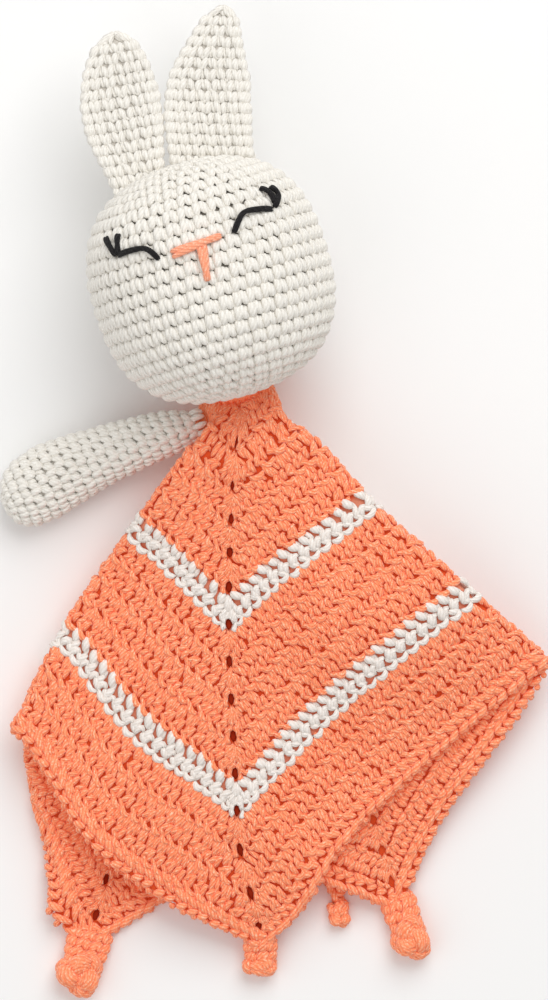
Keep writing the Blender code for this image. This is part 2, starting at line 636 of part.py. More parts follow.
def band(name, grid, rows, colour):
    """One band of the blanket between two square rings, as a sheet with the cloth's thickness."""
    places, normals, distances = grid
    columns = places.shape[1]
    middle = np.zeros((len(rows), columns, 3))
    facing = np.zeros((len(rows), columns, 3))
    for column in range(columns):
        for part in range(3):
            middle[:, column, part] = np.interp(rows, distances[:, column], places[:, column, part])
            facing[:, column, part] = np.interp(rows, distances[:, column], normals[:, column, part])
    facing = facing / np.linalg.norm(facing, axis=2)[:, :, None]
    outer = (middle + facing * CLOTH / 2).reshape(-1, 3)
    inner = (middle - facing * CLOTH / 2)[::-1].reshape(-1, 3)
    whole = rows[0] <= CENTRE_RING
    vertices = np.vstack([outer, inner])
    faces = stacked_faces(2 * len(rows), columns, whole, whole)
    if whole:
        vertices = np.vstack([outer[:columns].mean(0), vertices, inner[-columns:].mean(0)])
    else:
        last = (2 * len(rows) - 1) * columns
        for column in range(columns):
            other = (column + 1) % columns
            faces.append((last + column, last + other, other, column))
    return piece(name, vertices, [tuple(reversed(face)) for face in faces], colour)


def make_blanket():
    """The six bands of the blanket, from its middle to its edging."""
    grid = blanket_grid()
    half = BAND_GAP / 2
    centre = CENTRE_EDGE - half
    centre_shares = np.array([0.0, 0.08, 0.16, 0.25, 0.36, 0.48, 0.62, 0.8, 1.0])
    rows = CENTRE_RING + (centre - CENTRE_RING) * centre_shares
    band("blanket_centre", grid, rows, CORAL)
    bands = (
        ("blanket_inner_stripe", CENTRE_EDGE, INNER_STRIPE_EDGE, STRIPE_ROUND_COUNT, WHITE),
        ("blanket_middle_band", INNER_STRIPE_EDGE, MIDDLE_EDGE, MIDDLE_ROUND_COUNT, CORAL),
        ("blanket_outer_stripe", MIDDLE_EDGE, OUTER_STRIPE_EDGE, STRIPE_ROUND_COUNT, WHITE),
        ("blanket_outer_band", OUTER_STRIPE_EDGE, OUTER_EDGE, OUTER_ROUND_COUNT, CORAL),
    )
    for name, low, high, steps, colour in bands:
        band(name, grid, np.linspace(low + half, high - half, steps + 1), colour)
    band("blanket_edging", grid, np.array([OUTER_EDGE + half, HALF_SIDE]), CORAL)
    return grid


def corner_place(grid, corner):
    """The tip of one of the blanket's corners and the way that it points."""
    places, _, distances = grid
    marks = {"front": 0, "right": 3, "back": 8, "left": 11}
    column = sum(ROUTE_STEPS[:marks[corner]])
    tip = np.array([np.interp(HALF_SIDE, distances[:, column], places[:, column, k]) for k in range(3)])
    before = np.array([np.interp(OUTER_EDGE, distances[:, column], places[:, column, k]) for k in range(3)])
    way = tip - before
    way[2] = 0
    return tip, way / np.linalg.norm(way)


def make_knot(name, tip, way, size, sides=10):
    """A knotted corner: two lobes with a waist between them, narrowed where the cloth enters."""
    long, wide, high = size
    aside = np.array([-way[1], way[0], 0.0])
    up = np.array([0.0, 0.0, 1.0])
    share = np.array(KNOT_STATION_SHARES)[:-1]
    girth = np.array(KNOT_GIRTH_SHARES)[:-1]
    turn = np.linspace(0, 2 * np.pi, sides, endpoint=False)
    start = tip + way * GAP
    lift = high / 2 + KNOT_LIFT - start[2]
    centres = start + way * long * share[:, None] + up * lift * ease(share, 0, share[3])[:, None]
    swell = 1 + KNOT_LOBE_SHARE * np.cos(2 * (np.pi * share[:, None] + turn[None, :]))
    ring = np.cos(turn)[None, :, None] * aside * wide / 2 + np.sin(turn)[None, :, None] * up * high / 2
    points = centres[:, None] + ring * (girth[:, None] * swell)[:, :, None]
    points[..., 2] = np.maximum(points[..., 2], KNOT_LIFT)
    last = start + way * long + up * lift
    vertices = np.vstack([centres[:1], points.reshape(-1, 3), last])
    return piece(name, vertices, stacked_faces(len(share), sides, True, True), CORAL)


def make_head():
    """The crocheted ball, its filling and the hole at the neck that the blanket covers."""
    points, faces = head_ball(0.0)
    shell = piece("head_shell", points, faces, WHITE)
    hollow_points, hollow_faces = head_ball(HEAD_WALL, 10, 16)
    cut(shell, cutter("head_hollow", hollow_points, hollow_faces))
    middle = Vector(HEAD + NECK_AXIS * HEAD_RADIUS)
    bpy.ops.mesh.primitive_cylinder_add(
        vertices=24, radius=NECK_HOLE_RADIUS, depth=HEAD_RADIUS * NECK_HOLE_DEPTH_SHARE, location=middle,
        rotation=Vector(NECK_AXIS).to_track_quat("Z", "Y").to_euler())
    hole = bpy.context.active_object
    hole.name = "neck_hole"
    hole.hide_render = True
    hole.display_type = "WIRE"
    cut(shell, hole)
    cut(shell, floor_block())
    stuffing_points, stuffing_faces = head_ball(HEAD_WALL + GAP, 10, 16)
    stuffing = piece("head_stuffing", stuffing_points, stuffing_faces, FILLING)
    seat(shell, NECK)
    seat(stuffing, NECK)


def floor_block():
    """A block whose top is the floor, for cutting rest flats."""
    block = bpy.data.objects.get("floor_block")
    if block is None:
        side = HALF_SIDE * 2
        corners = [(x, y, z) for z in (-CUT_OVERRUN, 0.0) for x, y in
                   ((-side, -side), (side, -side), (side, side), (-side, side))]
        faces = [(3, 2, 1, 0), (4, 5, 6, 7), (0, 1, 5, 4), (1, 2, 6, 5), (2, 3, 7, 6), (3, 0, 4, 7)]
        block = cutter("floor_block", corners, faces)
    return block


def head_clearance():
    """The head's outside, grown by the clearance, for trimming what is sewn to it."""
    grown = bpy.data.objects.get("head_clearance")
    if grown is None:
        points, faces = head_ball(-GAP, 24, 36)
        grown = cutter("head_clearance", points, faces)
    return grown


def ear_seat(base, level, clear):
    """The point beside the head, at a level over its middle, that an ear's base points to."""
    ray = np.array([base[0], base[1], level])
    for _ in range(30):
        reach = head_reach(ray / np.linalg.norm(ray)) + clear
        ray[:2] = ray[:2] / np.linalg.norm(ray[:2]) * np.sqrt(reach ** 2 - level ** 2)
    return HEAD + ray


def ear_axis(base, tip):
    """A point on the ear's fold line, level with its front at the head, and the line's direction."""
    along = np.array([tip[0] - base[0], tip[1] - base[1], 0.0])
    along = along / np.linalg.norm(along)
    return ear_seat(base, EAR_HEIGHT + EAR_THICKNESS / 2, GAP), np.array([along[1], -along[0], 0.0])


def make_ear(name, base, tip, aside, width_shares, rings=10, sides=12):
    """A flat ear, hollowed along its middle, whose root is trimmed to the head."""
    start = HEAD + np.array([base[0], base[1], EAR_HEIGHT])
    end = HEAD + np.array([tip[0], tip[1], EAR_HEIGHT - EAR_TIP_DROP])
    along = (end - start) / np.linalg.norm(end - start)
    start = start - along * EAR_ROOT
    across = np.cross(along, [0.0, 0.0, 1.0])
    across = across / np.linalg.norm(across)
    up = np.cross(across, along)
    whole = np.linalg.norm(end - start)
    share = 1 - (1 - np.linspace(0, 1, rings + 1)[:-1]) ** EAR_TIP_CROWDING
    straight = np.interp(share, EAR_STATION_SHARES, width_shares)
    full = np.sqrt(np.interp(share, EAR_STATION_SHARES, np.array(width_shares) ** 2))
    width = full * EAR_FULL_SHARE + straight * (1 - EAR_FULL_SHARE)
    turn = np.linspace(0, 2 * np.pi, sides, endpoint=False)
    side = np.cos(turn)
    thick = np.sign(np.sin(turn)) * np.abs(np.sin(turn)) ** EAR_FLAT_POWER
    rounding = EAR_TIP_THICK_SHARE + (1 - EAR_TIP_THICK_SHARE) * ease(1 - share, 0, EAR_TIP_SHARE)
    offset = across * EAR_HALF_WIDTH * side[None, :, None] * width[:, None, None]
    bow = EAR_HOLLOW * side[None, :] ** 2 * (width * ease(share, 0, EAR_HOLLOW_FROM_SHARE))[:, None]
    height = EAR_THICKNESS / 2 * thick[None, :] * rounding[:, None] + bow
    axis = start + along * whole * share[:, None] - across * aside * np.sin(np.pi * share)[:, None]
    points = axis[:, None] + offset + up * height[:, :, None]
    vertices = np.vstack([start, points.reshape(-1, 3), end])
    faces = [tuple(reversed(face)) for face in stacked_faces(len(share), sides, True, True)]
    ear = piece(name, vertices, faces, WHITE)
    cut(ear, head_clearance())
    seat(ear, ear_axis(base, tip)[0])


def make_ear_thread(name, base, tip, width_share):
    """Sewing yarn in the corner between the ear's back and the head."""
    across = ear_axis(base, tip)[1]
    level = EAR_HEIGHT - EAR_THICKNESS / 2 - EAR_THREAD_RADIUS - EAR_THREAD_DROP
    route = []
    for share in np.linspace(-EAR_THREAD_SHARE, EAR_THREAD_SHARE, 7):
        spot = np.array([base[0], base[1], 0.0]) + across * EAR_HALF_WIDTH * width_share * share
        route.append(ear_seat(spot, level, EAR_THREAD_RADIUS + GAP))
    seat(strand(name, route, EAR_THREAD_RADIUS, WHITE, sides=6, steps=1), NECK)


def arm_rings(turn, root, root_half, root_height, inset, hand_height):
    """Rings of an arm from its root to its fingertip, moved inwards by the inset."""
    way = np.array([np.sin(turn), -np.cos(turn), 0.0])
    aside = np.array([np.cos(turn), np.sin(turn), 0.0])
    up = np.array([0.0, 0.0, 1.0])
    share = np.array(ARM_STATION_SHARES)
    girth = root_half + (ARM_HAND_HALF_WIDTH - root_half) * np.array(ARM_GIRTH_SHARES)
    half = girth * np.array(ARM_END_SHARES)
    wide = np.maximum(half - inset, 0)[:-1]
    high = np.maximum(half * ARM_THICK_SHARE - inset, 0)[:-1]
    reach = share * ARM_LENGTH
    shortened = reach - inset * ease(share, ARM_TIP_FROM_SHARE, 1.0)
    reach = np.where(share > ARM_HAND_FROM_SHARE, shortened, reach)
    height = root_height + (hand_height - root_height) * ease(share, 0, ARM_LEVEL_FROM_SHARE)
    centres = root + way * reach[:, None] + up * height[:, None]
    angle = np.linspace(0, 2 * np.pi, ARM_SIDES, endpoint=False)
    ring = (np.cos(angle)[None, :, None] * aside * wide[:, None, None]
            + np.sin(angle)[None, :, None] * up * high[:, None, None])
    return centres[:-1, None] + ring, centres[-1]


def arm_pivot(turn, root, root_height):
    """The middle of the shoulder, which the arm turns about."""
    way = np.array([np.sin(turn), -np.cos(turn), 0.0])
    return root + way * ARM_LENGTH * ARM_PIVOT_SHARE + np.array([0.0, 0.0, root_height])


def make_arm(name, turn, root, root_half, root_height, hand_height, on_floor):
    """A hollow crocheted arm, open where it is sewn on, its filling and its sewing yarn."""
    outside, tip = arm_rings(turn, root, root_half, root_height, 0.0, hand_height)
    inside, inner_tip = arm_rings(turn, root, root_half, root_height, ARM_WALL, hand_height)
    rings = len(outside)
    vertices = np.vstack([tip, outside[::-1].reshape(-1, 3), inside.reshape(-1, 3), inner_tip])
    faces = [tuple(reversed(face)) for face in stacked_faces(2 * rings, ARM_SIDES, True, True)]
    shell = piece(name + "_shell", vertices, faces, WHITE)
    filling, filling_tip = arm_rings(turn, root, root_half, root_height, ARM_WALL + GAP, hand_height)
    filling = filling[SHOULDER_RINGS:]
    vertices = np.vstack([filling[0].mean(0), filling.reshape(-1, 3), filling_tip])
    faces = stacked_faces(len(filling), ARM_SIDES, True, True)
    stuffing = piece(name + "_stuffing", vertices, faces, FILLING)
    if on_floor:
        cut(shell, floor_block())
    way = np.array([np.sin(turn), -np.cos(turn), 0.0])
    middle = (outside[0] + inside[0]) / 2 - way * (ARM_THREAD_RADIUS + ARM_THREAD_GAP)
    thread = strand(name + "_thread", middle, ARM_THREAD_RADIUS, WHITE, closed=True, sides=6)
    for moving in (shell, stuffing, thread):
        seat(moving, arm_pivot(turn, root, root_height))


def make_arms():
    """Both arms: the left one free beside the head, the right one under the blanket's front."""
    hand_half = ARM_HAND_HALF_WIDTH * ARM_THICK_SHARE
    left_root = np.array([NECK[0] + ARM_LEFT_ASIDE, NECK[1] + ARM_LEFT_DOWN, 0.0])
    make_arm("arm_left", ARM_LEFT_TURN, left_root, ARM_LEFT_ROOT_HALF_WIDTH, ARM_LEFT_ROOT_HEIGHT,
             hand_half - HAND_REST_FLAT, True)
    right_root = np.array([NECK[0] + ARM_RIGHT_ASIDE, NECK[1] + ARM_RIGHT_DOWN, 0.0])
    hand_height = LAYER + CLOTH + 2 * GAP + hand_half
    make_arm("arm_right", ARM_RIGHT_TURN, right_root, ARM_RIGHT_ROOT_HALF_WIDTH, ARM_RIGHT_ROOT_HEIGHT,
             hand_height, False)


def make_neck_thread():
    """The ring of sewing yarn between the head and the blanket."""
    reach = head_reach(NECK_AXIS) + 2 * GAP + NECK_THREAD_RADIUS
    from_middle = np.sqrt(reach ** 2 - NECK_RING_RADIUS ** 2)
    turn = np.linspace(0, 2 * np.pi, 20, endpoint=False)
    ring = HEAD + NECK_AXIS * from_middle + NECK_RING_RADIUS * (
        np.cos(turn)[:, None] * NECK_SIDE + np.sin(turn)[:, None] * NECK_UP)
    thread = strand("neck_thread", ring, NECK_THREAD_RADIUS, CORAL, closed=True, sides=8)
    seat(thread, NECK + NECK_UP * NECK_NOD_RISE)


def make_face():
    """Closed eyes with two lashes each, and a nose of a bar over a stem."""
    eyes = {
        "eye_left_lid": EYE_LEFT_LID_SHARES,
        "eye_left_lash_outer": EYE_LEFT_LASH_OUTER_SHARES,
        "eye_left_lash_inner": EYE_LEFT_LASH_INNER_SHARES,
        "eye_right_lid": EYE_RIGHT_LID_SHARES,
        "eye_right_lash_outer": EYE_RIGHT_LASH_OUTER_SHARES,
        "eye_right_lash_inner": EYE_RIGHT_LASH_INNER_SHARES,
    }
    for name, route in eyes.items():
        points = [on_face(x * HEAD_RADIUS, y * HEAD_RADIUS, YARN_RADIUS + GAP) for x, y in route]
        seat(strand(name, points, YARN_RADIUS, BLACK, sides=6, steps=2), NECK)
    for name, route in {"nose_bar": NOSE_BAR_SHARES, "nose_stem": NOSE_STEM_SHARES}.items():
        points = [on_face(x * HEAD_RADIUS, y * HEAD_RADIUS, NOSE_RADIUS + GAP) for x, y in route]
        seat(strand(name, points, NOSE_RADIUS, ROSE, sides=6, steps=3), NECK)


def main():
    """Builds every piece of the toy."""
    for old in list(bpy.data.objects):
        bpy.data.objects.remove(old)
    grid = make_blanket()
    for corner, size in KNOT_SIZES.items():
        tip, way = corner_place(grid, corner)
        make_knot("knot_" + corner, tip, way, size)
    make_head()
    make_neck_thread()
    make_ear("ear_left", EAR_LEFT_BASE, EAR_LEFT_TIP, EAR_LEFT_BOW, EAR_LEFT_WIDTH_SHARES)
    make_ear("ear_right", EAR_RIGHT_BASE, EAR_RIGHT_TIP, EAR_RIGHT_BOW, EAR_RIGHT_WIDTH_SHARES)
    make_ear_thread("ear_left_thread", EAR_LEFT_BASE, EAR_LEFT_TIP, EAR_LEFT_WIDTH_SHARES[1])
    make_ear_thread("ear_right_thread", EAR_RIGHT_BASE, EAR_RIGHT_TIP, EAR_RIGHT_WIDTH_SHARES[1])
    make_arms()
    make_face()


main()
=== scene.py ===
"""Dresses the crocheted rabbit comfort blanket in yarn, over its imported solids.

Every surface is worked out as a table of places, with rows along it and
columns round it. Each crochet stitch is a few tapered lobes of yarn whose
routes are given in stitch widths, stitch heights and millimetres of lift, and
are laid over such a table.
"""

import bpy
import numpy as np
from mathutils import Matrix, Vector


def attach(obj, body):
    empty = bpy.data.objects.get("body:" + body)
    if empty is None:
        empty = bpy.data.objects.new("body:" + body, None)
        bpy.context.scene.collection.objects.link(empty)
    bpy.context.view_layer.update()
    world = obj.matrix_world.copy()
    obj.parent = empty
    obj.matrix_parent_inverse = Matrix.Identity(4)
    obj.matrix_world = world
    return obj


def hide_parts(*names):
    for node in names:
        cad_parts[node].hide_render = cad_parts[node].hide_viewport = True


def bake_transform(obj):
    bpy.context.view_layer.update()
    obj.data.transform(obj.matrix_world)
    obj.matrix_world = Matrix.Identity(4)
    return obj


bl_info = {
    "name": "Crocheted comfort blanket",
    "version": (1, 0, 0),
    "blender": (4, 5, 0),
    "location": "3D View > Sidebar > Lovey",
    "description": "Crocheted rabbit comfort blanket in yarn over its packed solids",
    "category": "Add Mesh",
}

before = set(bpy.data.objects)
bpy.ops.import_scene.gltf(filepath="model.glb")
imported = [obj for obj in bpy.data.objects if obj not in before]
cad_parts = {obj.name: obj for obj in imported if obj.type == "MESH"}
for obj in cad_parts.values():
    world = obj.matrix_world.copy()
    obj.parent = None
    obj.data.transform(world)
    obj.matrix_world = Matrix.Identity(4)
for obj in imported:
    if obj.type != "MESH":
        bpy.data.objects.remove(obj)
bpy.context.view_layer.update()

MM = 0.001
DEG = np.pi / 180
UP = np.array([0.0, 0.0, 1.0])
GAP = 0.3 * MM
FLOOR_LIFT = 0.05 * MM
PLY_PITCH = 2.6 * MM
PLIES = 5.0
TONE_SHUFFLE = 7919.0
SOLVE_STEPS = 30

# Head, as in the part's source
HEAD_RADIUS = 45.0 * MM
HEAD_BARREL_SHARE = 0.07
HEAD_ROLL = 17.0 * DEG
HEAD_X = -24.9 * MM
HEAD_Y = 83.6 * MM
HEAD_REST_FLAT = 0.5 * MM
NECK_ASIDE_SHARE = 0.2156
NECK_AWAY_SHARE = 0.8911

# Blanket, as in the part's source
CLOTH = 3.4 * MM
LAYER = 5.2 * MM
ROUND = 9.9 * MM
EDGING = 6.5 * MM
ROUNDS = 15
STRIPE_ROUNDS = (7, 12)
STRIPE_GROUND_SHARE = 0.9
HALF_SIDE = ROUNDS * ROUND + EDGING
CENTRE_RING = 1.2 * MM
TABLE_MARGIN = 4.0 * MM
INNER_BEND_STEPS = 4
FRONT_TURN = -2.4 * DEG
FRONT_BENDS = (
    (2.4 * DEG, 60.0 * MM, 165.0 * MM),
    (2.4 * DEG, 160.0 * MM, 210.0 * MM),
)
RIGHT_FOLD = 48.4 * DEG
RIGHT_FOLD_SPREAD = 9.0 * DEG
RIGHT_SPREAD_TO = 75.0 * MM
RIGHT_UNDER_FOLD = 43.0 * DEG
LEFT_FOLD = -35.7 * DEG
LEFT_FOLD_CLOSING = 2.7 * DEG
LEFT_CLOSING_FROM = 95.0 * MM
LEFT_CLOSING_TO = 155.0 * MM
LEFT_NECK_SPREAD = 20.0 * DEG
LEFT_NECK_SPREAD_TO = 30.0 * MM
LEFT_UNDER_FOLD = -34.0 * DEG
LEFT_UNDER_CLOSING = 13.7 * DEG
LEFT_UNDER_CLOSING_FROM = 130.0 * MM
LEFT_UNDER_CLOSING_TO = 205.0 * MM
SPREAD_FROM = 5.0 * MM
RIGHT_CORNER = 17.4 * DEG
LEFT_CORNER = -15.0 * DEG
BACK_CORNER = 11.0 * DEG
BOTTOM_RIGHT_RAY = 151.0 * DEG
INNER_RIGHT_RAY = 104.0 * DEG
OUTER_RIGHT_RAY = 50.0 * DEG
INNER_LEFT_RAY = 285.0 * DEG
OUTER_LEFT_RAY = 321.0 * DEG
INNER_RAY_PAST_CORNER = 15.0 * DEG
INNER_FOLD = 5.4 * MM
INNER_FOLD_SPREAD = 6.0 * MM
INNER_SPREAD_FROM = 20.0 * MM
INNER_SPREAD_TO = 80.0 * MM
INNER_RIGHT_LEAN = 2.4 * DEG
LEFT_UNDER_SHARE = 0.745
LEFT_UNDER_FAR_SHARE = 0.985
LEFT_UNDER_FAR_FROM = 130.0 * MM
LEFT_UNDER_FAR_TO = 222.0 * MM
LEFT_TURNED_IN = 26.0 * MM
LEFT_TURNED_IN_FROM = 120.0 * MM
LEFT_TURNED_IN_TO = 160.0 * MM
LEFT_UNDER_FROM = 30.0 * MM
LEFT_UNDER_TO = 80.0 * MM
LEFT_STRETCH_SHARE = 0.09
LEFT_STRETCH_FROM = 60.0 * MM
LEFT_STRETCH_TO = 170.0 * MM
FRONT_TAKE_UP = 6.0 * MM
FRONT_TAKE_UP_FROM = 190.0 * MM
FRONT_TAKE_UP_TO = 219.0 * MM
RIGHT_TAKE_UP = 14.0 * MM
RIGHT_TAKE_UP_FROM = 120.0 * MM
RIGHT_TAKE_UP_TO = 215.0 * MM
FRONT_EASE = 4.6 * MM
FRONT_EASE_POWER = 6
FRONT_EASE_FROM = 20.0 * MM
FRONT_EASE_FULL = 85.0 * MM
FRONT_EASE_LAST = 168.0 * MM
FRONT_EASE_TO = 206.0 * MM
TENT_TOP = 37.0 * MM
TENT_SPAN_SHARE = 1.613
TENT_POWER = 1.35
TENT_MIDDLE = 8.0 * DEG
TENT_SIDE_FROM = 15.0 * DEG
TENT_SIDE_TO = 45.0 * DEG
TENT_SIDE_DROP_SHARE = 0.75
TENT_SIDE_NEAR = 30.0 * MM
TENT_SIDE_FAR = 120.0 * MM
TENT_EASE = 4.0 * MM
TENT_START = 20.0 * MM
OUTER_LIFT_SHARE = 0.15
BACK_LANDING = 42.0 * MM
BACK_TAKE_UP = 20.0 * MM
BACK_TAKE_UP_TO = 50.0 * MM
SAG_FROM = 8.0 * MM
SAG_TO = 36.0 * MM
NECK_DOME = 14.0 * MM
NECK_DOME_WIDE = 16.5 * MM
NECK_DOME_HIGH = 12.0 * MM
NECK_DOME_BACK = 10.0 * MM
NECK_OPEN = 8.0 * MM
NECK_FOLDED = 34.0 * MM
NECK_AXIS_FROM = 4.0 * MM
NECK_AXIS_TO = 30.0 * MM
POCKET_THICKNESS = 20.0 * MM
POCKET_HALF_WIDTH = 12.0 * MM
POCKET_FALL = 64.0 * MM
POCKET_FROM = 12.0 * MM
POCKET_TO = 74.0 * MM
POCKET_ASIDE = 12.0 * MM
POCKET_DOWN = -9.0 * MM

# Ears and arms, as in the part's source
EAR_BASES = {"left": (-27.4 * MM, 39.9 * MM), "right": (2.6 * MM, 42.4 * MM)}
EAR_TIPS = {"left": (-36.4 * MM, 92.4 * MM), "right": (4.8 * MM, 102.4 * MM)}
EAR_BOWS = {"left": 2.0 * MM, "right": 4.6 * MM}
EAR_WIDTH_SHARES = {
    "left": (0.55, 0.72, 0.9, 0.92, 0.77, 0.5, 0.0),
    "right": (0.96, 0.98, 1.0, 0.94, 0.66, 0.42, 0.0),
}
EAR_STATION_SHARES = (0.0, 0.2, 0.4, 0.6, 0.78, 0.93, 1.0)
EAR_HALF_WIDTH = 16.2 * MM
EAR_THICKNESS = 6.4 * MM
EAR_HOLLOW = 3.0 * MM
EAR_HEIGHT = 2.5 * MM
EAR_TIP_DROP = 6.0 * MM
EAR_ROOT = 9.0 * MM
EAR_FULL_SHARE = 0.6
EAR_LEAST_WIDTH_SHARE = 0.02
EAR_FLAT_POWER = 0.7
EAR_TIP_SHARE = 0.12
EAR_TIP_THICK_SHARE = 0.4
EAR_HOLLOW_FROM_SHARE = 0.4
ARM_LENGTH = 78.5 * MM
ARM_HAND_HALF_WIDTH = 14.0 * MM
ARM_THICK_SHARE = 0.7
ARM_STATION_SHARES = (0.0, 0.05, 0.12, 0.3, 0.46, 0.62, 0.76, 0.88, 0.96, 1.0)
ARM_GIRTH_SHARES = (0.0, 0.02, 0.08, 0.3, 0.5, 0.78, 1.0, 1.0, 1.0, 1.0)
ARM_END_SHARES = (0.62, 0.86, 1.0, 1.0, 1.0, 1.0, 1.0, 0.92, 0.66, 0.0)
ARM_LEVEL_FROM_SHARE = 0.75
ARM_LEAST_HALF_WIDTH = 0.4 * MM
ARM_TURNS = {"left": -67.0 * DEG, "right": 33.0 * DEG}
ARM_ROOTS = {
    "left": (-15.5 * MM, -14.2 * MM, 19.1 * MM),
    "right": (18.9 * MM, -16.0 * MM, 20.5 * MM),
}
ARM_ROOT_HALF_WIDTHS = {"left": 8.0 * MM, "right": 6.5 * MM}
HAND_REST_FLAT = 0.5 * MM
ARM_BOWS = {"left": 3.2 * MM, "right": 0.0 * MM}
TIP_CROWDING = 1.6

# The seam round the left arm's root: lobes of yarn on a flattened circle
SEAM_STITCHES = 9
SEAM_STATIONS = 9
SEAM_HEIGHT_SHARE = 0.7
SEAM_REACH = 3.2 * MM
SEAM_RADIUS = 5.0 * MM
SEAM_DIP = 1.6 * MM
SEAM_YARN = 1.25 * MM

# Gathers between the blanket and the head: radius at stations along the neck, towards the head
GATHERS = 26
GATHER_STATIONS = 17
GATHER_PLACES = (-3.2 * MM, -1.6 * MM, 1.0 * MM, 2.6 * MM, 5.6 * MM)
GATHER_RADII = (9.6 * MM, 9.0 * MM, 8.0 * MM, 8.0 * MM, 8.8 * MM)
GATHER_YARN = 1.15 * MM
GATHER_SKIN = 0.9 * MM

# Knots in the corners, as in the part's source: length, width and height. Their necks reach back
# on the cloth, and their rays are shares of a turn round the flat square
KNOT_SIZES = {
    "front": (8.5 * MM, 14.5 * MM, 9.0 * MM),
    "right": (18.5 * MM, 15.5 * MM, 12.0 * MM),
    "back": (7.5 * MM, 9.0 * MM, 6.0 * MM),
    "left": (18.0 * MM, 19.0 * MM, 12.0 * MM),
}
KNOT_RAYS = {"front": 0.0, "right": 0.25, "back": 0.5, "left": 0.75}
KNOT_LIFT = 0.2 * MM
NECK_REACHES = {"front": 6.0 * MM, "right": 8.0 * MM, "back": 2.0 * MM, "left": 9.5 * MM}
NECK_WIDTH_STATIONS = (0.0, 0.6, 1.0)
NECK_WIDTH_SHARES = (0.92, 0.84, 0.6)
NECK_HALF_HEIGHT = 3.3 * MM
NECK_END_POWER = 8
NECK_LEAST_END = 0.01
KNOT_ROLL_SHARE = 0.31
KNOT_STATIONS = 120
KNOT_OVERLAP = 6
ROLL_UP = (0.12, 0.2, 1.0)

# Face, embroidered on the head: routes from the head's middle, in millimetres towards +X and +Y
FACE_DROP = 0.5 * MM
FACE_STATIONS = 24
FACE_LIFT = 1.1 * MM
FACE_END_DROP = 1.0 * MM
FACE_END_POWER = 6
FACE_ROUTES = {
    "eye_left_lid": ((-34.5, 8.6), (-29.6, 10.3), (-24.4, 11.2), (-21.4, 9.8), (-18.8, 7.1)),
    "eye_left_lash_outer": ((-38.6, 15.8), (-36.6, 12.0), (-34.6, 8.7)),
    "eye_left_lash_inner": ((-33.8, 16.7), (-33.9, 13.6), (-33.7, 9.1)),
    "eye_right_lid": ((8.6, 16.7), (10.1, 21.0), (12.4, 24.4), (17.6, 25.5), (23.4, 25.9)),
    "eye_right_lash_outer": ((23.6, 26.4), (24.6, 31.0), (21.8, 34.4)),
    "eye_right_lash_inner": ((23.6, 28.4), (21.4, 31.8), (18.0, 33.6)),
    "nose_bar": ((-14.6, 8.8), (-5.2, 12.3), (4.3, 16.0)),
    "nose_stem": ((-3.4, 13.2), (-2.1, 6.0), (-1.0, -1.0)),
}

# Each line's two strands: how far aside they start and end and how much higher they lie, in
# millimetres, and their half thickness
FACE_STRANDS = {
    "rose": (((-1.1, 0.5, 0.2), (1.1, -0.4, 0.0)), 1.4 * MM),
    "black": (((-0.5, 0.45, 0.1), (0.5, -0.45, 0.0)), 0.98 * MM),
}

# A double crochet stitch: lobes as four control points each (stitch widths, stitch heights,
# millimetres of lift) and half sizes across and through, in millimetres
DOUBLE_CROCHET = (
    (((0.76, -0.08, 0.9), (0.84, 0.08, 1.8), (0.88, 0.30, 1.8), (0.96, 0.60, 0.6)), 1.30, 1.1),
    (((0.04, -0.08, 0.8), (0.16, 0.06, 1.6), (0.30, 0.22, 1.5), (0.40, 0.56, 0.5)), 1.08, 1.0),
    (((0.40, -0.08, 0.8), (0.50, 0.06, 1.6), (0.56, 0.20, 1.4), (0.60, 0.34, 0.5)), 1.02, 0.95),
    (((1.02, -0.06, 0.7), (1.08, 0.10, 1.4), (1.14, 0.28, 1.4), (1.22, 0.54, 0.5)), 0.98, 0.9),
    (((0.48, 0.94, 0.5), (0.42, 0.66, 2.0), (0.40, 0.32, 2.2), (0.78, 0.52, 0.6)), 1.2, 1.1),
    (((0.80, 0.78, 0.7), (0.92, 0.62, 1.8), (1.08, 0.54, 1.9), (1.30, 0.36, 0.6)), 1.2, 1.05),
    (((0.60, 0.70, 0.5), (0.84, 0.74, 1.6), (1.10, 0.80, 1.6), (1.38, 0.92, 0.5)), 1.1, 1.0),
    (((-0.04, 0.74, 0.8), (0.22, 1.00, 2.1), (0.62, 1.08, 2.2), (1.00, 0.90, 1.2)), 1.4, 1.15),
    (((0.06, 0.30, 0.1), (0.26, 0.46, 0.8), (0.26, 0.70, 0.8), (0.12, 0.94, 0.1)), 1.35, 0.9),
)

# The same stitch from behind, plainer because the folds hide most of it
DOUBLE_CROCHET_BACK = (
    (((0.76, -0.08, -0.9), (0.84, 0.08, -1.8), (0.88, 0.30, -1.8), (0.96, 0.60, -0.6)), 1.45, 1.1),
    (((0.16, -0.08, -0.8), (0.26, 0.06, -1.6), (0.38, 0.22, -1.5), (0.48, 0.50, -0.5)), 1.4, 1.0),
    (((0.48, 0.94, -0.5), (0.42, 0.66, -2.0), (0.36, 0.32, -2.2), (0.72, 0.46, -0.6)), 1.45, 1.1),
    (((0.76, 0.80, -0.7), (0.92, 0.64, -1.8), (1.08, 0.52, -1.9), (1.30, 0.36, -0.6)), 1.4, 1.05),
    (((-0.10, 0.84, -0.8), (0.26, 1.04, -2.1), (0.66, 1.02, -2.3), (1.06, 0.82, -1.3)), 1.5, 1.15),
)

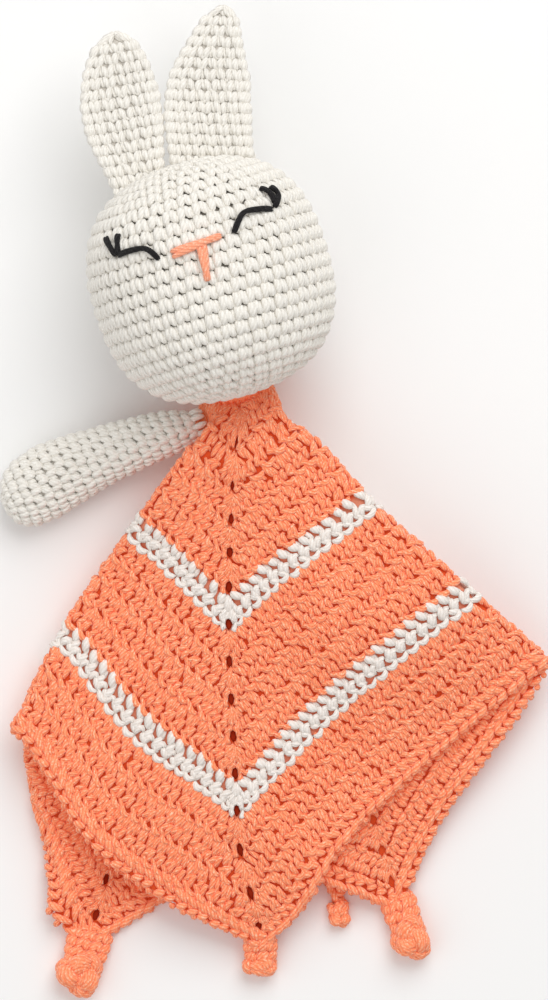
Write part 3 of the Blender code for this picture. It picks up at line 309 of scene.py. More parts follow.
# The looser white stitch, whose posts stand apart
STRIPE_STITCH = (
    (((0.26, -0.10, 1.0), (0.44, 0.02, 2.3), (0.62, 0.18, 2.2), (0.80, 0.44, 0.8)), 1.75, 1.25),
    (((0.62, -0.02, 0.4), (0.76, 0.10, 1.2), (0.88, 0.24, 1.2), (1.02, 0.48, 0.4)), 1.25, 0.95),
    (((0.94, 0.24, 0.8), (0.92, 0.42, 2.0), (0.74, 0.58, 1.9), (0.60, 0.82, 0.6)), 1.55, 1.15),
    (((0.02, 0.90, 0.5), (-0.06, 0.56, 2.0), (0.20, 0.36, 2.1), (0.60, 0.62, 0.6)), 1.5, 1.1),
    (((0.34, 0.60, 0.6), (0.56, 0.66, 1.7), (0.80, 0.74, 1.8), (1.12, 0.86, 0.5)), 1.4, 1.05),
    (((-0.08, 0.80, 0.8), (0.26, 1.06, 2.2), (0.66, 1.02, 2.3), (1.04, 0.78, 1.3)), 1.4, 1.15),
)

# The edging: a braid of slanting lobes on both faces that meets over the rim
EDGING_STITCH = (
    (((-0.30, 0.06, 0.6), (0.10, 0.08, 1.9), (0.50, 0.28, 2.1), (0.96, 0.52, 1.0)), 1.4, 1.15),
    (((-0.24, 0.98, 0.5), (0.10, 0.92, 1.9), (0.50, 0.74, 2.1), (0.96, 0.54, 1.1)), 1.4, 1.15),
    (((-0.10, -0.26, 0.5), (0.14, -0.08, 1.5), (0.36, 0.12, 1.4), (0.60, 0.40, 0.4)), 1.2, 1.0),
    (((0.34, -0.26, 0.5), (0.56, -0.10, 1.4), (0.78, 0.06, 1.3), (0.98, 0.30, 0.4)), 1.1, 0.95),
    (((-0.10, 0.40, 0.3), (0.14, 0.50, 0.9), (0.40, 0.62, 0.9), (0.66, 0.80, 0.3)), 1.2, 0.8),
    (((-0.30, 0.10, -0.6), (0.10, 0.10, -1.9), (0.50, 0.30, -2.1), (0.96, 0.52, -1.0)), 1.4, 1.15),
    (((-0.24, 0.96, -0.5), (0.10, 0.92, -1.9), (0.50, 0.74, -2.1), (0.96, 0.54, -1.1)), 1.4, 1.15),
    (((0.00, -0.26, -0.5), (0.24, -0.08, -1.4), (0.46, 0.12, -1.4), (0.70, 0.40, -0.4)), 1.3, 1.0),
    (((0.30, 0.86, 1.3), (0.44, 1.16, 1.0), (0.56, 1.16, -1.0), (0.70, 0.86, -1.3)), 1.25, 1.0),
)

# A single crochet stitch: a plump bowl of two lobes that meet at its foot, over the next round's top
SINGLE_CROCHET = (
    (((0.02, -0.14, -1.9), (0.10, 0.26, -0.8), (0.24, 0.70, -0.5), (0.44, 1.08, -1.4)), 1.75, 1.4),
    (((0.66, -0.14, -1.9), (0.84, 0.20, -0.8), (0.86, 0.64, -0.4), (0.66, 1.08, -1.3)), 1.85, 1.45),
    (((0.90, -0.18, -1.9), (0.90, 0.00, -1.3), (0.94, 0.12, -1.3), (0.98, 0.34, -2.1)), 1.25, 1.05),
    (((0.24, 0.00, -2.1), (0.42, 0.36, -1.5), (0.54, 0.62, -1.3), (0.58, 1.12, -1.9)), 1.6, 1.0),
)

# The same stitch finer on the ears, arms and knots: shares of its lift and of its half sizes
EAR_STITCH_SHARE = 0.8
ARM_STITCH_SHARE = 0.86
KNOT_STITCH_SHARE = 0.85

# A round's height in stitch widths, and how far round each round starts from the last, in stitches
EAR_ROUND_SHARE = 1.04
ARM_ROUND_SHARE = 0.8
KNOT_ROUND_SHARE = 0.95
HEAD_LEAN = -0.17
EAR_LEAN = 0.1
ARM_LEAN = -0.28
KNOT_LEAN = 0.3
HEAD_STITCH_STEP = 6
LIMB_STITCH_STEP = 2

# How far the plain skins under the stitches lie below their surfaces, and how far inside the hem
# the cloth ends and in how many steps
HEAD_SKIN = 2.0 * MM
EAR_SKIN = 1.5 * MM
ARM_SKIN = 1.7 * MM
KNOT_SKIN = 1.2 * MM
CLOTH_MARGIN = 1.5 * MM
CLOTH_STEPS = 90

# Stitches that fan out of each corner's eyelet, and how far the others keep off the diagonal
CORNER_STITCHES = 2
DIAGONAL_GAP = 0.5 * MM
FAN_SHARE = 0.74
FAN_FROM = 0.1
FAN_TO = 1.05

# Eyelets: gap and size, which grow over the first rounds; the dark patches in them are painted shade
EYELET_GAP = 2.4 * MM
EYELET_GAP_ROUNDS = 5
EYELET_GAP_FROM = 0.45
EYELET_GAP_TO = 0.7
EYELET_BACK = 3.2 * MM
EYELET_LENGTH = 4.6 * MM
EYELET_LENGTH_SHARES = (0.55, 0.12)
EYELET_WIDTH = 2.3 * MM
EYELET_WIDTH_SHARES = (0.35, 0.16)
EYELET_LIFT = 0.35 * MM
EDGING_SHARE = 0.86

# Unevenness of hand-made stitches: spread of their points, weighed along, up and out, and of their size
WOBBLE = 0.05
TUBE_WOBBLE = 0.03
WOBBLE_WEIGHTS = (1, 0.7, 2.0)
SIZE_WOBBLE = 0.06

# Where each group's random draws start
SEEDS = {"front": 11, "back": 211, "edging": 401, "head": 601, "ear": 701, "arm": 801, "knot": 901,
         "knot_neck": 1101}
SEED_STEPS = {"ear": 50, "arm": 50, "knot": 40}

# Blanket's pieces: name, first and last round, and yarn
FRONT_BANDS = (
    ("blanket_centre_stitches", 1, 6, "coral"),
    ("blanket_inner_stripe_stitches", 7, 7, "white"),
    ("blanket_middle_stitches_a", 8, 9, "coral"),
    ("blanket_middle_stitches_b", 10, 11, "coral"),
    ("blanket_outer_stripe_stitches", 12, 12, "white"),
    ("blanket_outer_stitches_a", 13, 13, "coral"),
    ("blanket_outer_stitches_b", 14, 14, "coral"),
    ("blanket_outer_stitches_c", 15, 15, "coral"),
)
BACK_BANDS = (
    ("blanket_back_stitches_a", 1, 6, "coral"),
    ("blanket_back_stripe_a", 7, 7, "white"),
    ("blanket_back_stitches_b", 8, 11, "coral"),
    ("blanket_back_stripe_b", 12, 12, "white"),
    ("blanket_back_stitches_c", 13, 15, "coral"),
)

# Yarns' looks: glow (a painted glow that lifts their shade), relief and sheen
YARN_LOOKS = {
    "coral": (0.12, 0.00028, 0.25),
    "white": (0.03, 0.00018, 0.25),
    "cream": (0.03, 0.00018, 0.25),
    "black": (0.0, 0.00028, 0.05),
    "rose": (0.0, 0.00028, 0.25),
}
FIBRE_SCALE = 1300.0
PATCH_SCALE = 300.0
GROUND_SCALE = 900.0
GROUND_RELIEF = 0.0003
# Painted glow of the ground, which lifts the painted shade in the gaps
GROUND_GLOW = 0.14

# Lamps: name, place and width
LAMPS = (("key", (0.35, 1.0, 1.35), 1.4), ("fill", (-0.9, -0.5, 1.2), 1.6))
TOY_HEIGHT = 0.025
SENSOR_WIDTH = 36.0
CAMERA_REACH = 20.0
FLOOR_COLOUR = (0.90, 0.90, 0.895, 1.0)
ROOM_COLOUR = (1.0, 0.99, 0.98, 1.0)


def ease(value, low, high):
    """Rises smoothly from 0 at low to 1 at high."""
    share = np.clip((value - low) / (high - low), 0, 1)
    return share * share * (3 - 2 * share)


def unit(vectors):
    """The vectors at length 1."""
    return vectors / np.maximum(np.linalg.norm(vectors, axis=-1, keepdims=True), 1e-12)


def head_frame():
    """The head's own axes: to its right, up to the ears and out of its face."""
    up = np.array([-np.sin(HEAD_ROLL), np.cos(HEAD_ROLL), 0.0])
    right = np.array([np.cos(HEAD_ROLL), np.sin(HEAD_ROLL), 0.0])
    return right, up, UP


def head_reach(direction):
    """Distance from the head's middle to its surface: the radius, fuller half way to the poles."""
    along = np.clip(direction @ head_frame()[1], -1, 1)
    return HEAD_RADIUS * (1 + HEAD_BARREL_SHARE * (2 * along) ** 2 * (1 - along ** 2))


def neck_from_head():
    """The neck's place from the head's middle: the cloth's middle layer, just clear of the head."""
    below = HEAD_RADIUS / 2
    aside, away = HEAD_RADIUS * NECK_ASIDE_SHARE, HEAD_RADIUS * NECK_AWAY_SHARE
    for _ in range(SOLVE_STEPS):
        ray = np.array([aside, -away, -below])
        reach = head_reach(ray / np.linalg.norm(ray)) + GAP + CLOTH / 2
        below = np.sqrt(reach ** 2 - aside ** 2 - away ** 2)
    return np.array([aside, -away, -below])


HEAD = np.array([HEAD_X, HEAD_Y, HEAD_RADIUS - HEAD_REST_FLAT])
NECK = HEAD + neck_from_head()
NECK_AXIS = unit(neck_from_head())
NECK_SIDE = unit(np.array([-NECK_AXIS[1], NECK_AXIS[0], 0.0]))
NECK_UP = np.cross(NECK_AXIS, NECK_SIDE)


def front_turn(r):
    """Direction of the front corner's diagonal at a distance from the neck."""
    return FRONT_TURN + sum(bend * ease(r, start, stop) for bend, start, stop in FRONT_BENDS)


def right_fold(r):
    """Direction of the fold at the front's right side."""
    return RIGHT_FOLD + RIGHT_FOLD_SPREAD * (1 - ease(r, SPREAD_FROM, RIGHT_SPREAD_TO))


def left_fold(r):
    """Direction of the fold at the front's left side."""
    closing = LEFT_FOLD_CLOSING * ease(r, LEFT_CLOSING_FROM, LEFT_CLOSING_TO)
    near = LEFT_NECK_SPREAD * (1 - ease(r, SPREAD_FROM, LEFT_NECK_SPREAD_TO))
    return LEFT_FOLD + closing - near


def left_under_fold(r):
    """Direction of the lower fold at the left, which closes in on the left corner."""
    closing = ease(r, LEFT_UNDER_CLOSING_FROM, LEFT_UNDER_CLOSING_TO)
    return LEFT_UNDER_FOLD + LEFT_UNDER_CLOSING * closing


def left_under_share(r):
    """How far round the square, from the back to the left corner, the lower left fold lies."""
    far = ease(r, LEFT_UNDER_FAR_FROM, LEFT_UNDER_FAR_TO)
    return LEFT_UNDER_SHARE + (LEFT_UNDER_FAR_SHARE - LEFT_UNDER_SHARE) * far


def rim(theta):
    """Distance from the blanket's middle to its edge, along a ray of the flat square."""
    return HALF_SIDE / np.cos(np.mod(theta, np.pi / 2) - np.pi / 4)


def under(r, turn, low, high, edge):
    """1 where a layer lies below, falling smoothly to 0 past its folds and its edge."""
    aside = r * np.maximum(np.maximum(turn - high, low - turn), 0)
    beyond = np.hypot(np.maximum(r - edge, 0), aside)
    return 1 - ease(beyond, SAG_FROM, SAG_TO)


def pocket(r, turn):
    """Extra room round the arm that lies between the second and third layers."""
    lean = ARM_TURNS["right"]
    x = r * np.sin(turn) - POCKET_ASIDE
    y = -r * np.cos(turn) - POCKET_DOWN
    along = np.clip(x * np.sin(lean) - y * np.cos(lean), POCKET_FROM, POCKET_TO)
    off = np.hypot(x - along * np.sin(lean), y + along * np.cos(lean))
    return POCKET_THICKNESS * (1 - ease(off, POCKET_HALF_WIDTH, POCKET_HALF_WIDTH + POCKET_FALL))


def layer_heights(r, turn):
    """Heights of the four layers' middles, the front first: layers piled up, under a tent."""
    left, right = left_under_fold(r), RIGHT_UNDER_FOLD
    square = np.pi / 2
    inner = INNER_RIGHT_LEAN + INNER_FOLD / HALF_SIDE
    folded = square * (2 + left_under_share(r))
    to_left = np.clip((BACK_CORNER - turn) / (BACK_CORNER - left), 0, 1)
    to_right = np.clip((turn - BACK_CORNER) / (right - BACK_CORNER), 0, 1)
    bottom_rays = (2 * square + (folded - 2 * square) * to_left
                   + (BOTTOM_RIGHT_RAY - 2 * square) * to_right)
    out = np.clip((turn - left) / (LEFT_CORNER - left), 0, 1)
    third_left = folded + (3 * square - folded) * out
    past = np.clip((turn - LEFT_CORNER) / (-inner - LEFT_CORNER), 0, 1)
    third_left = third_left + INNER_RAY_PAST_CORNER * past
    third_right = np.interp(turn, [inner, right], [INNER_RIGHT_RAY, BOTTOM_RIGHT_RAY])
    second_left = np.interp(turn, [LEFT_FOLD, -inner], [OUTER_LEFT_RAY, INNER_LEFT_RAY])
    second_right = np.interp(turn, [inner, RIGHT_CORNER, RIGHT_FOLD],
                             [INNER_RIGHT_RAY, square, OUTER_RIGHT_RAY])
    between = np.pi * np.clip((turn - left) / (right - left), 0, 1)
    bottom = under(r, turn, left, right, rim(bottom_rays) - BACK_TAKE_UP * np.sin(between) ** 2)
    third = np.maximum(under(r, turn, left, 0, rim(third_left)),
                       under(r, turn, 0, right, rim(third_right)))
    second = np.maximum(under(r, turn, left_fold(r), 0, rim(second_left)),
                        under(r, turn, 0, right_fold(r), rim(second_right)))
    floor = CLOTH / 2 + (NECK[2] - CLOTH / 2) * (1 - ease(r, 0, BACK_LANDING))
    piled = floor + LAYER * (bottom + third + second) + pocket(r, turn)
    tent = TENT_TOP * (1 - (r / (HALF_SIDE * TENT_SPAN_SHARE)) ** TENT_POWER)
    aside = ease(np.abs(turn - TENT_MIDDLE), TENT_SIDE_FROM, TENT_SIDE_TO)
    tent = tent * (1 - TENT_SIDE_DROP_SHARE * aside * ease(r, TENT_SIDE_NEAR, TENT_SIDE_FAR))
    spare = tent - piled
    lift = (spare + np.sqrt(spare ** 2 + TENT_EASE ** 2)) / 2 * ease(r, 0, TENT_START)
    first = piled + lift
    return (first, first - LAYER * second - OUTER_LIFT_SHARE * lift,
            floor + LAYER * bottom + OUTER_LIFT_SHARE * lift, floor)


def blanket_route(r, flat_steps=30, turn_steps=14):
    """The closed route of the folded cloth at each distance r from the neck.

    From the front corner the route runs right over the front, round the right
    fold, back under it, round the inner fold, out again, round the lower right
    fold, along the floor and up the same way at the left. Runs keep a layer's
    height and folds are half circles between two layers.
    """
    r = r[:, None]
    wide = INNER_FOLD + INNER_FOLD_SPREAD * (1 - ease(r, INNER_SPREAD_FROM, INNER_SPREAD_TO))
    inner_right, inner_left = np.arctan(wide / r) + INNER_RIGHT_LEAN, -np.arctan(wide / r)
    outer_right, outer_left = right_fold(r), left_fold(r)
    lower_right, lower_left = RIGHT_UNDER_FOLD + 0 * r, left_under_fold(r)
    front, back = front_turn(r), BACK_CORNER + 0 * r

    def bulge(turn, upper, lower):
        heights = layer_heights(r, turn)
        return (heights[upper] - heights[lower]) / 2 / r

    outer_right = outer_right - bulge(outer_right, 0, 1)
    outer_left = outer_left + bulge(outer_left, 0, 1)
    lower_right = lower_right - bulge(lower_right, 2, 3)
    lower_left = lower_left + bulge(lower_left, 2, 3)
    centre_right, centre_left = inner_right, inner_left
    for _ in range(INNER_BEND_STEPS):
        centre_right = inner_right + bulge(centre_right, 1, 2)
        centre_left = inner_left - bulge(centre_left, 1, 2)
    least = GAP / r
    centre_right = np.minimum(centre_right, np.minimum(outer_right, lower_right) - least)
    centre_left = np.maximum(centre_left, np.maximum(outer_left, lower_left) + least)
    turns, heights, levels, ends = [], [], [], []

    def run(start, stop, level):
        share = np.linspace(0, 1, flat_steps)[None, :]
        turn = start + (stop - start) * share
        turns.append(turn)
        heights.append(layer_heights(np.broadcast_to(r, turn.shape), turn)[level])
        levels.append(np.full(turn.shape, float(level)))
        ends.append(sum(part.shape[1] for part in turns) - 1)

    def bend(centre, start, stop, way):
        upper, lower = layer_heights(r, centre)[start], layer_heights(r, centre)[stop]
        share = np.linspace(0, 1, turn_steps + 2)[None, 1:-1]
        turns.append(centre + way * np.abs(upper - lower) / 2 / r * np.sin(np.pi * share))
        heights.append((upper + lower) / 2 + (upper - lower) / 2 * np.cos(np.pi * share))
        levels.append(start + (stop - start) * share + 0 * r)
        ends.append(sum(part.shape[1] for part in turns))

    run(front, outer_right, 0)
    bend(outer_right, 0, 1, 1)
    run(outer_right, centre_right, 1)
    bend(centre_right, 1, 2, -1)
    run(centre_right, lower_right, 2)
    bend(lower_right, 2, 3, 1)
    run(lower_right, back, 3)
    run(back, lower_left, 3)
    bend(lower_left, 3, 2, -1)
    run(lower_left, centre_left, 2)
    bend(centre_left, 2, 1, 1)
    run(centre_left, outer_left, 1)
    bend(outer_left, 1, 0, -1)
    run(outer_left, front, 0)
    turn, height = np.concatenate(turns, 1), np.concatenate(heights, 1)
    level = np.concatenate(levels, 1)
    between = (turn - left_under_fold(r)) / (RIGHT_UNDER_FOLD - left_under_fold(r))
    between = np.pi * np.clip(between, 0, 1)
    taken = BACK_TAKE_UP * ease(r, 0, BACK_TAKE_UP_TO) * np.clip(level - 2, 0, 1) * np.sin(between) ** 2
    across = np.pi * np.clip(turn / RIGHT_FOLD, 0, 1)
    pulled = RIGHT_TAKE_UP * ease(r, RIGHT_TAKE_UP_FROM, RIGHT_TAKE_UP_TO) * np.sin(across) ** 2
    taken = taken + pulled * np.clip(level, 0, 1) * np.clip(2 - level, 0, 1)
    across = np.pi * np.clip((turn - front) / (left_fold(r) - front), 0, 1)
    stretch = LEFT_STRETCH_SHARE * ease(r, LEFT_STRETCH_FROM, LEFT_STRETCH_TO) * np.sin(across) ** 2
    tip = FRONT_TAKE_UP * ease(r, FRONT_TAKE_UP_FROM, FRONT_TAKE_UP_TO)
    taken = taken + (tip - r * stretch) * np.clip(1 - level, 0, 1)
    x, y = (r - taken) * np.sin(turn), -(r - taken) * np.cos(turn)
    steps = np.sqrt(np.diff(x) ** 2 + np.diff(y) ** 2 + np.diff(height) ** 2)
    length = np.concatenate([np.zeros((len(r), 1)), np.cumsum(steps, 1)], 1)
    at = [length[:, end] for end in ends]
    right_mark = at[2] - np.maximum((RIGHT_CORNER - centre_right[:, 0]) * r[:, 0], (at[2] - at[3]) / 2)
    left_mark = at[9] - np.maximum((centre_left[:, 0] - LEFT_CORNER) * r[:, 0], (at[9] - at[10]) / 2)
    return x, y, height, length, right_mark, left_mark, at


def lengths_of(rays, r, marks):
    """Length along the route at each ray of the flat square, piece by piece between the marks."""
    right_mark, back, left_turn, left_mark, whole = marks
    even = (left_turn - back) / (left_mark - back)
    near = ease(r, LEFT_UNDER_FROM, LEFT_UNDER_TO)
    share = near * left_under_share(r) + (1 - near) * min(even, LEFT_UNDER_FAR_SHARE)
    turned_in = LEFT_TURNED_IN * ease(r, LEFT_TURNED_IN_FROM, LEFT_TURNED_IN_TO)
    even_share = share * (left_turn - turned_in - back) / (left_turn - back)
    own_share = share - turned_in / r * 2 / np.pi
    before = even_share + (own_share - even_share) * ease(r, LEFT_TURNED_IN_FROM, LEFT_TURNED_IN_TO)
    marked = np.pi / 2 * np.array([0, 1, 2, 2 + before, 2 + share, 3, 4])
    lengths = [0, right_mark, back, left_turn - turned_in - GAP, left_turn, left_mark, whole]
    return np.interp(rays, marked, lengths)


def neck_dome(r, rays):
    """The cloth next to the neck before its folds begin: a dome that turns down the toy."""
    bent = np.minimum(r / NECK_DOME, np.pi / 2)
    back = NECK_DOME_BACK * (1 - np.cos(bent)) + np.maximum(r - NECK_DOME * np.pi / 2, 0)
    turned = ease(r, NECK_AXIS_FROM, NECK_AXIS_TO)
    axis = NECK_AXIS * (1 - turned) + np.array([0.0, -1.0, 0.0]) * turned
    across = NECK_DOME_WIDE * np.sin(rays)[:, None] * NECK_SIDE
    over = NECK_DOME_HIGH * np.cos(rays)[:, None] * NECK_UP
    return axis * back + np.sin(bent) * (across + over)


def tabulate(places):
    """A surface: places by row and column, with normals from the two directions' cross product."""
    around = np.roll(places, -1, 1) - np.roll(places, 1, 1)
    along = np.gradient(places, axis=0)
    return places, unit(np.cross(along, around))


def tabulate_outwards(places):
    """The same for a closed surface, with normals that point away from each row's middle."""
    normals = tabulate(places)[1]
    middle = places.mean(1, keepdims=True)
    return places, normals * np.sign(((places - middle) * normals).sum(-1).mean())


def sample(surface, row, turn):
    """Places and normals at fractional rows and turns: the four nearest entries by nearness."""
    places, normals = surface
    rows, columns = places.shape[:2]
    row = np.clip(row, 0, rows - 1.001)
    column = np.mod(turn, 1.0) * columns
    low, left = row.astype(int), column.astype(int) % columns
    right = (left + 1) % columns
    down, side = (row - low)[..., None], (column - np.floor(column))[..., None]

    def mixed(table):
        upper = table[low, left] * (1 - side) + table[low, right] * side
        lower = table[low + 1, left] * (1 - side) + table[low + 1, right] * side
        return upper * (1 - down) + lower * down

    return mixed(places), unit(mixed(normals))


def blanket_table(rows=230, columns=1440):
    """The folded blanket's middle surface, by distance from its centre and ray of the flat square."""
    r = np.linspace(CENTRE_RING / 2, HALF_SIDE * np.sqrt(2) + TABLE_MARGIN, rows)
    x, y, z, length, right_mark, left_mark, at = blanket_route(r)
    rays = np.linspace(0, 2 * np.pi, columns, endpoint=False)
    places = np.empty((rows, columns, 3))
    for row in range(rows):
        marks = (right_mark[row], at[6][row], at[8][row], left_mark[row], length[row, -1])
        stations = lengths_of(rays, r[row], marks)
        folded = np.stack([np.interp(stations, length[row], part[row]) for part in (x, y, z)], 1)
        folded[:, 2] -= NECK[2]
        open_share = 1 - ease(r[row], NECK_OPEN, NECK_FOLDED)
        places[row] = NECK + folded * (1 - open_share) + neck_dome(r[row], rays) * open_share
    return tabulate(places), r


def eased(reach, ray):
    """Distances from the middle where the rounds lie: a little nearer it along the front's diagonal.

    The ease is its full size times a power of the ray's cosine, rising and falling along the ray.
    """
    near = np.clip(np.cos(ray), 0, 1) ** FRONT_EASE_POWER
    rise = ease(reach, FRONT_EASE_FROM, FRONT_EASE_FULL)
    fall = 1 - ease(reach, FRONT_EASE_LAST, FRONT_EASE_TO)
    return reach - FRONT_EASE * near * rise * fall


def flat_place(table, side, along, out):
    """Where a point of the flat square lies, by its side, its way along that side and outwards."""
    surface, r = table
    ray = np.pi / 2 * side + np.pi / 4 + np.arctan2(along, out)
    reach = eased(np.hypot(along, out), ray)
    row = (reach - r[0]) / (r[1] - r[0])
    return sample(surface, row, ray / (2 * np.pi))


def head_table(rows=181, columns=360):
    """The head's surface: rays by tilt from the upper pole and turn, each at its reach."""
    right, up, out = head_frame()
    tilt = np.linspace(0.001, np.pi - 0.001, rows)[:, None, None]
    turn = np.linspace(0, 2 * np.pi, columns, endpoint=False)[None, :, None]
    rays = np.cos(tilt) * up + np.sin(tilt) * (np.cos(turn) * out + np.sin(turn) * right)
    return HEAD + rays * head_reach(rays)[..., None], rays


def ear_table(side, rows=121, columns=180):
    """An ear's surface: flat ovals along an axis that bows aside, with the middle hollow."""
    base, tip = EAR_BASES[side], EAR_TIPS[side]
    start = HEAD + np.array([base[0], base[1], EAR_HEIGHT])
    end = HEAD + np.array([tip[0], tip[1], EAR_HEIGHT - EAR_TIP_DROP])
    along = unit(end - start)
    start = start - along * EAR_ROOT
    across = unit(np.cross(along, UP))
    up = np.cross(across, along)
    whole = np.linalg.norm(end - start)
    share = 1 - (1 - np.linspace(0, 1, rows)) ** TIP_CROWDING
    shares = np.array(EAR_WIDTH_SHARES[side])
    width = np.interp(share, EAR_STATION_SHARES, shares)
    full = np.sqrt(np.interp(share, EAR_STATION_SHARES, shares ** 2))
    width = full * EAR_FULL_SHARE + width * (1 - EAR_FULL_SHARE)
    width = np.maximum(width, EAR_LEAST_WIDTH_SHARE)
    turn = np.linspace(0, 2 * np.pi, columns, endpoint=False)
    across_share = np.cos(turn)
    thick = np.sign(np.sin(turn)) * np.abs(np.sin(turn)) ** EAR_FLAT_POWER
    rounding = ease(1 - share, 0, EAR_TIP_SHARE) * (1 - EAR_TIP_THICK_SHARE) + EAR_TIP_THICK_SHARE
    offset = across * EAR_HALF_WIDTH * across_share[None, :, None] * width[:, None, None]
    hollow = EAR_HOLLOW * (width * ease(share, 0, EAR_HOLLOW_FROM_SHARE))[:, None]
    height = EAR_THICKNESS / 2 * thick[None, :] * rounding[:, None] + hollow * across_share ** 2
    aside = across * EAR_BOWS[side] * np.sin(np.pi * share)[:, None]
    axis = start + along * whole * share[:, None] - aside
    return axis[:, None] + offset + up * height[:, :, None]


def arm_ways(side):
    """An arm's level way from its root to its hand, and the way aside of it."""
    turn = ARM_TURNS[side]
    return np.array([np.sin(turn), -np.cos(turn), 0.0]), np.array([np.cos(turn), np.sin(turn), 0.0])


def arm_table(side, rows=121, columns=120):
    """An arm's surface: ovals along its length, fuller at the hand and closed at the fingertip."""
    aside_shift, down_shift, root_height = ARM_ROOTS[side]
    root = np.array([NECK[0] + aside_shift, NECK[1] + down_shift, 0.0])
    way, aside = arm_ways(side)
    hand_half = ARM_HAND_HALF_WIDTH * ARM_THICK_SHARE
    over_cloth = LAYER + CLOTH + 2 * GAP
    hand_height = hand_half + (over_cloth if side == "right" else -HAND_REST_FLAT)
    share = 1 - (1 - np.linspace(0, 1, rows)) ** TIP_CROWDING
    root_half = ARM_ROOT_HALF_WIDTHS[side]
    fuller = np.interp(share, ARM_STATION_SHARES, ARM_GIRTH_SHARES)
    girth = root_half + (ARM_HAND_HALF_WIDTH - root_half) * fuller
    ends = np.sqrt(np.interp(share, ARM_STATION_SHARES, np.array(ARM_END_SHARES) ** 2))
    half = np.maximum(girth * ends, ARM_LEAST_HALF_WIDTH)
    height = root_height + (hand_height - root_height) * ease(share, 0, ARM_LEVEL_FROM_SHARE)
    centres = root + way * ARM_LENGTH * share[:, None] + UP * height[:, None]
    centres = centres - aside * ARM_BOWS[side] * np.sin(np.pi * share)[:, None]
    angle = np.linspace(0, 2 * np.pi, columns, endpoint=False)
    ring = (np.cos(angle)[None, :, None] * aside * half[:, None, None]
            + np.sin(angle)[None, :, None] * UP * half[:, None, None] * ARM_THICK_SHARE)
    return centres[:, None] + ring


def tube_faces(rings, sides):
    """Loops, face starts and UV shares of a tube with a point at either end, for one lobe of yarn."""
    ring = np.arange(rings - 1)[:, None] * sides + 1
    side = np.arange(sides)[None, :]
    other = (side + 1) % sides
    quads = np.stack([ring + side, ring + sides + side, ring + sides + other, ring + other], -1)
    quads = quads.reshape(-1, 4)
    first = np.stack([np.zeros(sides, int), side[0] + 1, other[0] + 1], -1)
    last_ring = (rings - 1) * sides + 1
    last = np.stack([np.full(sides, rings * sides + 1), last_ring + other[0], last_ring + side[0]], -1)
    loops = np.concatenate([quads.ravel(), first.ravel(), last.ravel()])
    starts = np.concatenate([np.arange(len(quads)) * 4, len(quads) * 4 + np.arange(2 * sides) * 3])
    station = np.concatenate([[0], np.repeat(np.arange(rings) + 1, sides), [rings + 1]])
    quad_side = np.broadcast_to(side, (rings - 1, sides)).reshape(-1, 1) / sides
    other_side = quad_side + 1 / sides
    quad_turn = np.concatenate([quad_side, quad_side, other_side, other_side], 1)
    low = side[0][:, None] / sides
    first_turn = np.concatenate([low + 0.5 / sides, low, low + 1 / sides], 1)
    last_turn = np.concatenate([low + 0.5 / sides, low + 1 / sides, low], 1)
    turns = np.concatenate([quad_turn.ravel(), first_turn.ravel(), last_turn.ravel()])
    return loops, starts, station[loops], turns


def tubes(centres, normals, wide, thick, taper=0.45, sides=6):
    """Tubes round many routes at once: ovals across each route, tapered to a point at both ends.

    The oval's half sizes at share t of the route are the given ones times sin(pi t) to the taper.
    """
    count, stations = centres.shape[:2]
    tangent = unit(np.gradient(centres, axis=1))
    aside = unit(np.cross(tangent, normals))
    up = np.cross(aside, tangent)
    share = np.linspace(0, 1, stations)[1:-1]
    swell = np.sin(np.pi * share) ** taper
    angle = 2 * np.pi * np.arange(sides) / sides
    wide, thick = ((half[:, None] * swell)[:, :, None, None] for half in (wide, thick))
    across = wide * np.cos(angle)[:, None] * aside[:, 1:-1, None]
    through = thick * np.sin(angle)[:, None] * up[:, 1:-1, None]
    rings = centres[:, 1:-1, None] + across + through
    vertices = np.concatenate([centres[:, :1], rings.reshape(count, -1, 3), centres[:, -1:]], 1)
    loops, starts, station, turns = tube_faces(stations - 2, sides)
    step = np.linalg.norm(np.diff(centres, axis=1), axis=2)
    length = np.concatenate([np.zeros((count, 1)), np.cumsum(step, 1)], 1)
    uv = np.stack([length[:, station] / PLY_PITCH, np.broadcast_to(turns, (count, len(turns)))], -1)
    offset = np.arange(count)[:, None] * vertices.shape[1]
    tone = np.linspace(0, 1, count, endpoint=False) * TONE_SHUFFLE % 1.0
    return {
        "vertices": vertices.reshape(-1, 3),
        "loops": (loops + offset).ravel(),
        "starts": (starts + np.arange(count)[:, None] * len(loops)).ravel(),
        "uv": uv.reshape(-1, 2),
        "tone": np.repeat(tone, vertices.shape[1]),
    }


def stitched(place, pattern, count, seed, wobble=WOBBLE, stations=8, sides=6, shares=1.0):
    """Yarn lobes of many like stitches: cubic Bezier routes with a little hand-made unevenness.

    The shares are each stitch's thickness as a share of the pattern's.
    """
    chance = np.random.default_rng(seed)
    control = np.array([lobe[0] for lobe in pattern], float)
    shift = chance.normal(0, wobble, (count, len(pattern), 1, 3))
    control = control[None] + shift * np.array(WOBBLE_WEIGHTS)
    share = np.linspace(0, 1, stations)
    rest = 1 - share
    basis = np.stack([rest ** 3, 3 * share * rest ** 2, 3 * share ** 2 * rest, share ** 3])
    route = np.einsum("slcx,ck->slkx", control, basis)
    centres, normals = place(route[..., 0], route[..., 1], route[..., 2] * MM)
    size = np.array([[lobe[1], lobe[2]] for lobe in pattern]) * MM
    size = size[None] * chance.normal(1, SIZE_WOBBLE, (count, len(pattern), 1))
    size = size * np.broadcast_to(shares, count)[:, None, None]
    number = count * len(pattern)
    return tubes(centres.reshape(number, stations, 3), normals.reshape(number, stations, 3),
                 size[..., 0].ravel(), size[..., 1].ravel(), sides=sides)


